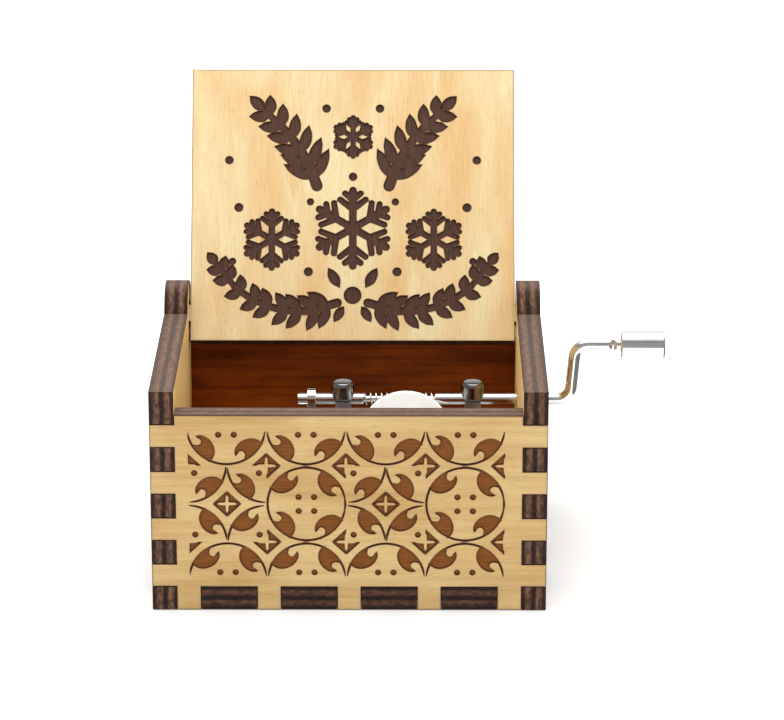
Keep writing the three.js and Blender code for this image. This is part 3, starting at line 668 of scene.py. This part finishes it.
def rounded(loop, circles):
    """The loop with finer points wherever an edge is a chord of one of the circles."""
    fine = []
    for a, b in zip(loop, np.roll(loop, -1, axis=0)):
        fine.append(a)
        for x, y, radius in circles:
            da, db = a - (x, y), b - (x, y)
            miss = max(abs(np.hypot(*da) - radius), abs(np.hypot(*db) - radius))
            if miss >= ON_CIRCLE or np.hypot(*(b - a)) > radius:
                continue
            start, end = math.atan2(da[1], da[0]), math.atan2(db[1], db[0])
            sweep = (end - start + math.pi) % (2 * math.pi) - math.pi
            parts = max(1, round(abs(math.degrees(sweep)) / ARC_STEP))
            for i in range(1, parts):
                angle = start + sweep * i / parts
                fine.append((x + radius * math.cos(angle), y + radius * math.sin(angle)))
            break
    return np.array(fine)


def placement(x_axis, y_axis, origin):
    """The matrix of a board's own frame: its Z is the board's thickness, outward."""
    x_axis, y_axis = Vector(x_axis), Vector(y_axis)
    columns = [x_axis, y_axis, x_axis.cross(y_axis)]
    matrix = Matrix.Identity(4)
    for index, column in enumerate(columns):
        for row in range(3):
            matrix[row][index] = column[row]
    matrix.translation = Vector(origin)
    return matrix


def board(name, node, matrix, outer, inner, edge, art=(), art_floor=None,
          bare=(), circles=(), depth=0.24, body="case"):
    """A laser-cut board with its outline taken from the CAD node that it replaces.

    outer, inner, edge and art_floor are its materials. art is engraved in the outer face,
    except inside bare. circles are the true arcs of the outline and its holes."""
    thickness = PLY / MM
    surface = Surface()
    top = [rounded(ring, circles) for ring in node_rings(node, matrix, thickness)]
    low = [rounded(ring, circles) for ring in node_rings(node, matrix, 0)]
    for rings, level, up in ((top, thickness, True), (low, 0, False)):
        eased = [inset(r, -CHAMFER if i else CHAMFER) for i, r in enumerate(rings)]
        polygons = [anticlockwise(p) for p in art] if up else []
        slots = (0, 3) if up else (1, 3)
        flat_face(surface, eased, polygons, list(bare) if up else [], level, depth, up, slots)
    cut_edge(surface, top[0], thickness, False, 2)
    for outer_hole, inner_hole in zip(top[1:], low[1:]):
        if len(outer_hole) == len(inner_hole) and np.allclose(outer_hole[0], inner_hole[0]):
            cut_edge(surface, outer_hole, thickness, True, 2)
        else:
            pocket(surface, outer_hole, inner_hole, thickness, 2)
    piece = surface.build(name, [outer, inner, edge, art_floor or edge], matrix)
    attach(piece, body)
    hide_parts(node)


POCKET_DEPTH = 2.0
POCKET_SIDES = 36


def pocket(surface, wide, narrow, thickness, slot):
    """A screw's counterbore: a wide hole, its floor, and a narrow hole on through."""
    centre = wide.mean(0)
    reach_wide = np.hypot(*(wide[0] - centre))
    reach_narrow = np.hypot(*(narrow[0] - narrow.mean(0)))
    floor = thickness - POCKET_DEPTH
    profile = [(reach_narrow + CHAMFER, 0), (reach_narrow, CHAMFER), (reach_narrow, floor),
               (reach_wide, floor), (reach_wide, thickness - CHAMFER),
               (reach_wide + CHAMFER, thickness)]
    rows = [lifted(disc(*centre, radius, POCKET_SIDES), height) for radius, height in profile]
    surface.add(np.vstack(rows), tube_quads(len(rows), POCKET_SIDES, flip=True), slot)


# ---- The lattice on the walls, in mm ----
PITCH_X = 12.8  # between columns
PITCH_Z = 13.1  # between rows
MIDDLE_Z = 18.4  # height of the middle row's centres
ARC_RADIUS = 6.27
LINE = 0.30  # width of the circles' lines
DOT_RADIUS = 0.47
LATTICE_TOP = 30.75
LATTICE_BOTTOM = 5.9
FRONT_SPAN = (-25.8, 25.5)  # from left to right, where the front's lattice is cut off
SIDE_SPAN = (-19.2, 19.2)
BACK_SPAN = (-25.5, 25.8)
FRONT_MIDDLE = -0.45
BACK_MARGIN = 2.2  # of plain wood under the back wall's top edge
# A leaf in a circle's lower left: the hooked tip, then the blade round to its stalk.
LEAF = [(-5.45, -2.88), (-4.59, -3.04), (-4.06, -2.69), (-4.06, -2.15), (-4.59, -1.74),
        (-4.87, -1.46), (-4.06, -1.35), (-3.20, -1.69), (-2.45, -2.37), (-1.95, -3.45),
        (-1.91, -4.47), (-2.23, -5.27), (-2.81, -5.89)]
SLIVER = 0.1  # a cut-off shape with a smaller share left is dropped
# The degrees that turn the leaf into each quadrant.
QUADRANTS = {(-1, -1): 0, (1, -1): 90, (1, 1): 180, (-1, 1): 270}


def leaf(x, y, quadrant):
    """The leaf that grows from a circle's line in one of its quadrants."""
    hook, blade = smooth(LEAF[:6]), smooth(LEAF[5:])
    back = arc(0, 0, ARC_RADIUS, heading_of(LEAF[-1]), heading_of(LEAF[0]), 6)
    shape = np.vstack([hook[:-1], blade, back[1:-1]])
    return anticlockwise(turn(shape, QUADRANTS[quadrant], (x, y)))


def star_quarter(x, y, quadrant):
    """A quarter of the small diamond with a cross of bare wood in it."""
    outline = [(0.30, 0.30), (0.24, 1.25), (0.05, 1.55), (0.05, 2.15), (2.25, 0.05),
               (1.62, 0.05), (1.30, 0.24)]
    return anticlockwise(np.array(outline) * quadrant + (x, y))


def clipped(polygon, limit, sign):
    """The part of a polygon to the right of an upright line, or with sign -1 to its left."""
    result = []
    for a, b in zip(polygon, np.roll(polygon, -1, axis=0)):
        da, db = sign * (a[0] - limit), sign * (b[0] - limit)
        if da >= 0:
            result.append(a)
        if da * db < 0:
            result.append(a + (b - a) * da / (da - db))
    return np.array(result)


def whole_circle(x, y):
    shapes = [band(x, y, ARC_RADIUS, 5, 355, LINE, 44), band(x, y, ARC_RADIUS, -12, 12, LINE, 4)]
    for quadrant in QUADRANTS:
        shapes.append(leaf(x, y, quadrant))
        shapes.append(disc(x + 1.25 * quadrant[0], y + 1.2 * quadrant[1], DOT_RADIUS))
    return shapes


def half_circle(x, y, side):
    """Half a circle whose open side lies on the lattice's edge."""
    cut = LATTICE_BOTTOM if side > 0 else LATTICE_TOP
    lift = math.degrees(math.asin(abs(cut - y) / ARC_RADIUS))
    start = lift if side > 0 else 180 + lift
    shapes = [band(x, y, ARC_RADIUS, start, start + 180 - 2 * lift, LINE, 26)]
    for sx in (-1, 1):
        shapes.append(leaf(x, y, (sx, side)))
        shapes.append(disc(x + 1.25 * sx, y + 1.25 * side, DOT_RADIUS))
    return shapes


def diamond(x, y):
    """Four concave arcs with their leaves, and the crossed diamond in the middle."""
    shapes = [star_quarter(x, y, q) for q in QUADRANTS]
    for sx, sy in QUADRANTS:
        ox, oy = x + sx * PITCH_X / 2, y + sy * PITCH_Z / 2
        facing = (-sx, -sy)
        middle = heading_of(facing)
        shapes.append(band(ox, oy, ARC_RADIUS, middle - 41, middle + 43, LINE, 14))
        shapes.append(leaf(ox, oy, facing))
        shapes.append(disc(ox - 1.2 * sx, oy - 1.25 * sy, DOT_RADIUS))
        shapes += [star_quarter(ox, oy, q) for q in QUADRANTS if q != facing]
    return shapes


def lattice(columns, middle, span):
    """Engraved shapes in columns centred on a middle, a diamond first, cut off at a span."""
    shapes = []
    for column in range(columns):
        x = middle + (column - (columns - 1) / 2) * PITCH_X
        is_diamond = column % 2 == 0
        shapes += diamond(x, MIDDLE_Z) if is_diamond else whole_circle(x, MIDDLE_Z)
        shapes += half_circle(x, MIDDLE_Z + PITCH_Z, -1) + half_circle(x, MIDDLE_Z - PITCH_Z, 1)
        if column == columns - 1 and not is_diamond:
            for sy in (-1, 1):
                centre = (x + PITCH_X / 2, MIDDLE_Z + sy * PITCH_Z / 2)
                shapes += [star_quarter(*centre, (-1, side)) for side in (-1, 1)]
    kept = []
    for shape in shapes:
        whole = abs(signed_area(shape))
        shape = clipped(shape, span[0], 1)
        shape = clipped(shape, span[1], -1) if len(shape) else shape
        if len(shape) > 2 and abs(signed_area(shape)) > SLIVER * whole:
            kept.append(shape)
    return kept


# ---- The ornament inside the lid, in mm ----
def stroke(points, widths, steps=5):
    """A round-ended stroke of changing width along a smooth line."""
    line = smooth(points, steps)
    t = np.linspace(0, 1, len(line))
    half = np.interp(t, np.linspace(0, 1, len(widths)), widths) / 2
    direction = np.gradient(line, axis=0)
    direction /= np.linalg.norm(direction, axis=1)[:, None]
    normal = np.column_stack([-direction[:, 1], direction[:, 0]])
    heading = np.degrees(np.arctan2(direction[:, 1], direction[:, 0]))
    tip = arc(*line[-1], half[-1], heading[-1] - 80, heading[-1] + 80, 6)
    tail = arc(*line[0], half[0], heading[0] + 100, heading[0] + 260, 6)
    right, left = line - normal * half[:, None], line + normal * half[:, None]
    return np.vstack([right, tip, left[::-1], tail])


def needle(x, y, heading, length, width):
    """A plump leaf or needle that starts at a point."""
    shape = [(0, 0), (length * 0.35, -width / 2), (length * 0.72, -width * 0.42), (length, 0)]
    low = smooth(shape)
    high = low[::-1] * (1, -1)
    return turn(np.vstack([low, high[1:-1]]), heading, (x, y))


def snowflake(x, y, radius, width):
    """Six spokes, each with a long and a short pair of branches."""
    shapes = []
    for spoke in range(6):
        heading = 90 + spoke * 60
        spoke_end = turn([(radius, 0)], heading, (x, y))[0]
        shapes.append(stroke([(x, y), spoke_end], [width, width]))
        for share, reach in ((0.5, 0.42), (0.76, 0.26)):
            root = turn([(radius * share, 0)], heading, (x, y))[0]
            for side in (-1, 1):
                end = turn([(radius * reach, 0)], heading + side * 52, root)[0]
                shapes.append(stroke([root, end], [width * 0.9, width * 0.8]))
    return shapes


def bough(points, widths, needles, length, width, lean):
    """A stem with needles in pairs that get shorter toward its end."""
    shapes = [stroke(points, widths, 8)]
    line = smooth(points, 8)
    direction = np.gradient(line, axis=0)
    for index in range(needles):
        share = (index + 0.6) / needles
        at = int(share * (len(line) - 1))
        heading = heading_of(direction[at])
        size = length * (1 - 0.42 * share)
        for side in (-1, 1):
            shapes.append(needle(*line[at], heading + side * lean, size, width))
    shapes.append(needle(*line[-1], heading_of(direction[-1]), length * 0.6, width))
    return shapes


def lid_ornament():
    """A garland with snowflakes over it and two fir sprigs, the same on both sides."""
    shapes = snowflake(0, 19.6, 6.6, 1.25)
    shapes += snowflake(0, 35.6, 3.4, 0.85)
    shapes += [disc(0, 7.9, 1.5), disc(0, 28.6, 0.7)]
    half = bough([(2.6, 6.6), (8, 5.2), (14, 5.9), (19.5, 8.8), (23.2, 13.2)], [1.5, 1.2, 0.9],
                 9, 4.6, 1.75, 48)
    half += bough([(6.2, 27.0), (8.0, 31.5), (11.2, 36.2), (15.2, 40.2)], [1.9, 1.5, 1.0],
                  6, 6.2, 1.9, 44)
    half += snowflake(13.9, 17.6, 4.9, 1.05)
    half += [needle(2.2, 9.2, 60, 4.0, 1.7), needle(1.5, 6.0, -58, 3.2, 1.5)]
    half += [disc(7.6, 12.0, 0.75), disc(19.6, 23.2, 0.75), disc(7.3, 24.2, 0.6),
             disc(20.6, 13.8, 0.6), disc(4.6, 40.6, 0.7), disc(21.3, 31.5, 0.7)]
    return shapes + half + [shape * (-1, 1) for shape in half]


# ---- The wooden case and lid, in mm ----
SHAFT_MARGIN = 2.6  # round the shaft, where nothing is engraved
LID_ART_DEPTH = 0.3


def build_boards():
    pivot = (PIVOT.y / MM, PIVOT.z / MM)
    side_circles = [(*pivot, EAR_RADIUS / MM), (*pivot, PIVOT_HOLE_RADIUS / MM),
                    (SHAFT.y / MM, SHAFT.z / MM, SHAFT_HOLE_RADIUS / MM)]
    mirrored = [(-y, z, radius) for y, z, radius in side_circles]

    board("front_board", "front_panel",
          placement((1, 0, 0), (0, 0, 1), (0, -INNER_Y, 0)), FACE_ALONG_X, DARK_INNER_FACE, CHAR,
          lattice(4, FRONT_MIDDLE, FRONT_SPAN), LEAF_BROWN)
    board("back_board", "back_panel",
          placement((-1, 0, 0), (0, 0, 1), (0, INNER_Y, 0)), FACE_ALONG_X_2, DARK_INNER_FACE, CHAR_2,
          back_lattice(), LEAF_BROWN)
    board("left_board", "left_panel",
          placement((0, -1, 0), (0, 0, 1), (-INNER_X, 0, 0)), FACE_ALONG_X_2, PAINTED_LIGHT_INSIDE_FACE, CHAR_2,
          lattice(3, 0, SIDE_SPAN), LEAF_BROWN, circles=mirrored)
    board("right_board", "right_panel",
          placement((0, 1, 0), (0, 0, 1), (INNER_X, 0, 0)), FACE_ALONG_X, PAINTED_LIGHT_INSIDE_FACE, CHAR,
          lattice(3, 0, SIDE_SPAN), LEAF_BROWN,
          bare=[disc(SHAFT.y / MM, SHAFT.z / MM, SHAFT_MARGIN)], circles=side_circles)
    board("bottom_board", "bottom_panel",
          placement((1, 0, 0), (0, -1, 0), (0, 0, PLY)), FACE_ALONG_X_2, DARK_INNER_FACE, CHAR_DARK)

    lean = LID_OPEN - math.pi / 2
    up = Vector((0, math.sin(lean), math.cos(lean)))
    facing = Vector((1, 0, 0)).cross(up)
    origin = PIVOT - up * LID_REAR - facing * PLY / 2
    board("lid_board", "lid_panel", placement((1, 0, 0), up, origin), LID_FACE,
          LID_FACE, CHAR_2, lid_ornament(), LID_BROWN, depth=LID_ART_DEPTH, body="lid")


def back_lattice():
    """The wall pattern without its top row, which the lower back wall has no room for."""
    limit = BACK_CORNER.z / MM - BACK_MARGIN
    return [s for s in lattice(4, -FRONT_MIDDLE, BACK_SPAN) if s[:, 1].max() < limit]


build_boards()


# ---- The movement and the crank ----
HARD_EDGE = math.radians(32)  # an edge with a sharper turn is eased
FLAT_TURN = math.radians(0.5)  # faces with a smaller turn between them are joined
ROUND_TURN = math.radians(50)  # a smaller turn is shaded as round


def refined(node, name, body, slot, material, ease):
    """The CAD node with its edges eased and its round faces shaded as round."""
    shape = bmesh.new()
    shape.from_mesh(frame["nodes"][node].data)
    bmesh.ops.remove_doubles(shape, verts=shape.verts, dist=0.0005 * MM)
    bmesh.ops.dissolve_limit(shape, angle_limit=FLAT_TURN, verts=shape.verts,
                             edges=shape.edges)
    hard = [e for e in shape.edges if len(e.link_faces) == 2
            and e.calc_face_angle(0) > HARD_EDGE]
    bmesh.ops.bevel(shape, geom=hard, offset=ease * MM, segments=2, profile=0.7,
                    affect="EDGES", clamp_overlap=True)
    clean = bpy.data.meshes.new(name)
    shape.to_mesh(clean)
    shape.free()
    clean.materials.append(material)
    clean.polygons.foreach_set("use_smooth", [True] * len(clean.polygons))
    clean.set_sharp_from_angle(angle=ROUND_TURN)
    piece = add_object(name, clean)
    weighted = piece.modifiers.new("even_normals", "WEIGHTED_NORMAL")
    weighted.keep_sharp = True
    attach(piece, body)
    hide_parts(node)


STEEL = ("case", "bright_steel", NICKEL)

# The CAD node, the piece's name, its body, slot and material, and the easing in mm.
PARTS = [
    ("movement_bedplate", "bedplate_casting", "case", "cast_zinc", ZINC, 0.10),
    ("bearing_cap_left", "left_cap_drum", "case", "bright_steel", PAINTED_SHADE_NICKEL, 0.30),
    ("bearing_cap_right", "right_cap_drum", "case", "bright_steel", PAINTED_SHADE_NICKEL, 0.30),
    ("end_bracket", "end_bracket_plate", *STEEL, 0.10),
    ("front_bracket", "front_bracket_plate", "case", "cast_zinc", ZINC, 0.10),
    ("tuned_comb", "comb_reeds", "case", "comb_steel", GROUND_STEEL, 0.02),
    ("comb_riser", "riser_block", "case", "brass", BRASS, 0.08),
    *((f"comb_screw_{at}", f"reed_screw_{at}", *STEEL, 0.06) for at in ("front", "middle", "rear")),
    *((f"{at}_bracket_screw", f"{at}_plate_screw", *STEEL, 0.06) for at in ("end", "front")),
    *((f"case_screw_{at}", f"base_screw_{at}", *STEEL, 0.08) for at in ("left", "right", "rear")),
    ("pinned_cylinder", "cylinder_sleeve", "cylinder", "comb_steel", GROUND_STEEL, 0.03),
    ("cylinder_cap", "cylinder_end_ring", "cylinder", "brass", BRASS, 0.06),
    ("cylinder_arbor", "arbor_rod", "cylinder", "bright_steel", NICKEL, 0.06),
    ("arbor_collar", "collar_ring", "cylinder", "brass", BRASS, 0.08),
    ("worm_wheel", "nylon_wheel", "cylinder", "white_nylon", NYLON, 0.10),
    ("knob_retainer", "retainer_ring", "crank", "bright_steel", NICKEL, 0.05),
    ("crank_knob", "knob_barrel", "knob", "bright_steel", NICKEL, 0.12),
]


# The crank's wire: its centreline in the X-Z plane, from the shaft's left end to the knob.
WIRE_RADIUS = 1.0  # mm, like every size below
WIRE_LEFT = -9.3
WIRE_RIGHT = 52.6
WIRE_SIDES = 40
WIRE_EASE = 0.12  # length of the chamfer at both ends
WIRE_END_SCALE = 0.80
ARM_X = 37
ARM_LEAN = math.radians(5)
BEND_RADIUS = 2.4
BEND_STEPS = 22
WORM_START = 1.9
WORM_END = 14.2
WORM_LEAD = math.pi * 0.3
WORM_CREST = 1.2
WORM_ROOT = 0.55
WORM_FADE = 0.35  # length in which the thread runs out
WORM_MARGIN = 0.3  # of finely divided wire on both sides
WORM_STEP = 0.045
WORM_PROFILE = (0, 28, 108, 180)  # degrees from the crest: crest to 28, root from 108
CRIMP_START = 43.5
CRIMP_END = 44.8
CRIMP_FADE = 0.62
CRIMP_MARGIN = 0.5
CRIMP_STEP = 0.08


def straight(start, end, step, z=0):
    return [(x, z, 0) for x in np.arange(start, end, step)]


def bend(x, z, side, angles):
    """Rows round a bend's centre, which lies above its wire, or with side -1 below it."""
    return [(x + side * BEND_RADIUS * math.sin(a), z - side * BEND_RADIUS * math.cos(a), a)
            for a in angles]


def wire_line():
    """The centreline's points with their headings, as rows of x, z, angle."""
    throw = (KNOB_AXIS.z - SHAFT.z) / MM
    turn_angle = math.pi / 2 - ARM_LEAN
    trim = BEND_RADIUS * math.tan(turn_angle / 2)
    low_x, high_x = ARM_X - trim, ARM_X + throw * math.tan(ARM_LEAN) + trim
    angles = np.linspace(0, turn_angle, BEND_STEPS)
    rows = straight(WIRE_LEFT + WIRE_EASE, WORM_START - WORM_MARGIN, 0.6)
    rows += straight(WORM_START - WORM_MARGIN, WORM_END + WORM_MARGIN, WORM_STEP)
    rows += straight(WORM_END + WORM_MARGIN, low_x, 0.8)
    rows += bend(low_x, BEND_RADIUS, 1, angles)
    rows += bend(high_x, throw - BEND_RADIUS, -1, angles[::-1])
    rows += straight(high_x + 0.1, CRIMP_START - CRIMP_MARGIN, 0.2, throw)
    rows += straight(CRIMP_START - CRIMP_MARGIN, CRIMP_END + CRIMP_MARGIN, CRIMP_STEP, throw)
    rows += straight(CRIMP_END + CRIMP_MARGIN, WIRE_RIGHT - 0.1, 0.8, throw)
    return np.array(rows, float)


def wire_section(x, height):
    """The wire's cross-section at a place: round, threaded like a worm, or crimped flat."""
    angles = np.radians(np.arange(WIRE_SIDES) * 360 / WIRE_SIDES)
    radius = np.full(WIRE_SIDES, WIRE_RADIUS)
    if height == 0 and WORM_START < x < WORM_END:
        crest = 2 * math.pi * (x - CYLINDER_AXIS.x / MM) / WORM_LEAD - math.pi / 2
        apart = np.degrees(np.abs((angles - crest + math.pi) % (2 * math.pi) - math.pi))
        thread = np.interp(apart, WORM_PROFILE, [WORM_CREST, WORM_CREST, WORM_ROOT, WORM_ROOT])
        fade = np.clip(min(x - WORM_START, WORM_END - x) / WORM_FADE, 0, 1)
        radius = thread * fade + radius * (1 - fade)
    across, upward = radius * np.cos(angles), radius * np.sin(angles)
    if height > 0:
        flat = np.clip(min(x - CRIMP_START, CRIMP_END - x) / CRIMP_FADE + 0.1, 0, 1)
        flat = flat * flat * (3 - 2 * flat)
        across, upward = across * (1 - 0.25 * flat), upward * (1 + 0.28 * flat)
    return across, upward


def build_crank_wire():
    """The crank, swept along its centreline."""
    surface = Surface()
    rows = wire_line()
    points = []
    first = (rows[0] - (WIRE_EASE, 0, 0), WIRE_END_SCALE)
    last = (rows[-1] + (WIRE_EASE, 0, 0), WIRE_END_SCALE)
    for (x, z, heading), scale in [first, *[(row, 1.0) for row in rows], last]:
        across, upward = wire_section(x, z)
        points.append(np.column_stack([x - scale * upward * math.sin(heading),
                                       scale * across,
                                       z + scale * upward * math.cos(heading)]))
    last_row = (len(points) - 1) * WIRE_SIDES
    caps = [range(WIRE_SIDES)[::-1], range(last_row, last_row + WIRE_SIDES)]
    surface.add(np.vstack(points), [*tube_quads(len(points), WIRE_SIDES), *caps], 0)
    piece = surface.build("crank_wire", [NICKEL], Matrix.Translation(SHAFT), 40)
    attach(piece, "crank")
    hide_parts("crank_shaft")


# ---- Pins, in mm ----
PIN_TRACKS = 18
PIN_STEPS = 64  # places round the cylinder where a note can start
PIN_RADIUS = 0.15
PIN_SIDES = 8
PIN_FOOT = 4.5  # from the cylinder's axis, inside its wall
PIN_REACH = 4.98
FIRST_TRACK_Y = -11.0  # the tracks are 1 mm apart


def build_pins():
    """Pins in rows round the cylinder, where a fixed draw puts them."""
    ring = disc(0, 0, PIN_RADIUS, PIN_SIDES)
    rows = [lifted(ring, PIN_FOOT), lifted(ring, PIN_REACH - 0.05), lifted(ring * 0.7, PIN_REACH)]
    faces = [*tube_quads(len(rows), PIN_SIDES), range(2 * PIN_SIDES, 3 * PIN_SIDES)]
    draw = np.random.default_rng(7)
    surface = Surface()
    for track in range(PIN_TRACKS):
        beats = draw.choice(PIN_STEPS, size=int(draw.integers(5, 10)), replace=False)
        for beat in beats:
            turned = Matrix.Rotation(2 * math.pi * beat / PIN_STEPS, 3, "Y")
            places = [turned @ Vector(p) for p in np.vstack(rows)]
            places = [(p.x, p.y + FIRST_TRACK_Y + track, p.z) for p in places]
            surface.add(places, faces, 0)
    axis = Vector((CYLINDER_AXIS.x, 0, CYLINDER_AXIS.z))
    piece = surface.build("cylinder_pins", [GROUND_STEEL], Matrix.Translation(axis), 40)
    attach(piece, "cylinder")


def build_movement():
    build_crank_wire()
    build_pins()
    for part in PARTS:
        refined(*part)


build_movement()


# ---- Floor, light and camera ----
FLOOR_LEVEL = -0.1 * MM  # just under the box, so that no two faces coincide
CARD_LEVEL = 1 * MM
LIGHT_TARGET = Vector((0, 0, 0.03))
SCREEN_REACH = 0.95
SCREEN_LOW = -0.02
SCREEN_TOP = 1.2
SCREEN_HALF_TURN = 112  # degrees to each side of the front
SCREEN_PANELS = 16


def area_light(name, size, place, energy):
    """A soft rectangular light that looks at the middle of the box."""
    light = bpy.data.lights.new(name, "AREA")
    light.shape = "RECTANGLE"
    light.size, light.size_y = size
    light.energy = energy
    lamp = add_object(name, light)
    lamp.location = place
    lamp.rotation_euler = (LIGHT_TARGET - Vector(place)).to_track_quat("-Z", "Y").to_euler()
    return lamp


def plane(name, corners, material):
    mesh = bpy.data.meshes.new(name)
    mesh.from_pydata(corners, [], [(0, 1, 2, 3)])
    mesh.materials.append(material)
    piece = add_object(name, mesh)
    return piece


def level_plane(name, x0, y0, x1, y1, z, material):
    return plane(name, [(x0, y0, z), (x1, y0, z), (x1, y1, z), (x0, y1, z)], material)


def white_world():
    scene = bpy.context.scene
    scene.view_settings.view_transform = "Standard"
    scene.world = bpy.data.worlds.new("soft_tent")
    scene.world.use_nodes = True
    background = scene.world.node_tree.nodes["Background"]
    background.inputs["Color"].default_value = (1, 1, 1, 1)
    background.inputs["Strength"].default_value = 1.0


def paper_floor():
    """White paper that glows more away from the box, so that only a faint shadow shows."""
    n = Nodes("white_paper")
    tone = n.ramp(n.noise(60, 2.0), [(0.3, (0.655, 0.66, 0.665)), (0.7, (0.67, 0.675, 0.68))])
    away = n.node("VectorMath", {0: n.place}, operation="LENGTH")
    glow = n.ramp(away.outputs["Value"], [(0.05, 0.16), (0.12, 0.45)])
    n.set(Base_Color=tone, Roughness=0.9, Emission_Color=WHITE, Emission_Strength=glow)
    level_plane("paper_floor", -3, -3, 3, 3, FLOOR_LEVEL, n.material)


def matt_card(name, grey):
    n = Nodes(name)
    dim, bright = (0.9 * grey, 0.88 * grey, 0.85 * grey), (1.1 * grey, 1.06 * grey, grey)
    n.set(Base_Color=n.ramp(n.noise(20, 2.0), [(0.3, dim), (0.7, bright)]), Roughness=1.0)
    return n.material


def reflected_cards():
    """Cards that only reflections show: they draw the dark bands on the bright metal."""
    grey = matt_card("grey_card", 0.25)
    angles = np.radians(np.linspace(-SCREEN_HALF_TURN, SCREEN_HALF_TURN, SCREEN_PANELS + 1))
    ends = [(SCREEN_REACH * math.sin(a), -SCREEN_REACH * math.cos(a)) for a in angles]
    cards = []
    for index, (left, right) in enumerate(zip(ends, ends[1:])):
        corners = [(*left, SCREEN_LOW), (*right, SCREEN_LOW), (*right, SCREEN_TOP),
                   (*left, SCREEN_TOP)]
        cards.append(plane(f"grey_screen_{index}", corners, grey))
    cards.append(level_plane("front_apron", -1.2, -1.2, 1.2, -0.15, CARD_LEVEL, grey))
    cards.append(level_plane("side_apron", 0.064, -0.15, 1.2, 0.25, CARD_LEVEL,
                             matt_card("dark_card", 0.10)))
    for card in cards:
        card.visible_camera = False
        card.visible_diffuse = False
        card.visible_shadow = False


def soft_lights():
    key = area_light("key_light", (0.5, 0.4), (-0.12, -0.34, 0.62), 2.0)
    key.visible_glossy = False
    area_light("top_light", (0.7, 0.6), (0.0, 0.05, 0.80), 4.4)


CAMERA_PLACE = (0.00945, -0.57800, 0.22951)
CAMERA_PITCH = 18.675  # degrees that it looks down
CAMERA_YAW = 0.259
LENS = 168.2  # mm, on a 36 mm sensor


def place_camera():
    data = bpy.data.cameras.new("product_camera")
    data.lens = LENS
    data.sensor_width = 36
    data.clip_start = 0.01
    data.clip_end = 20
    camera = add_object("product_camera", data)
    camera.location = CAMERA_PLACE
    camera.rotation_euler = (math.radians(90 - CAMERA_PITCH), 0, math.radians(CAMERA_YAW))
    bpy.context.scene.camera = camera


white_world()
paper_floor()
reflected_cards()
soft_lights()
place_camera()
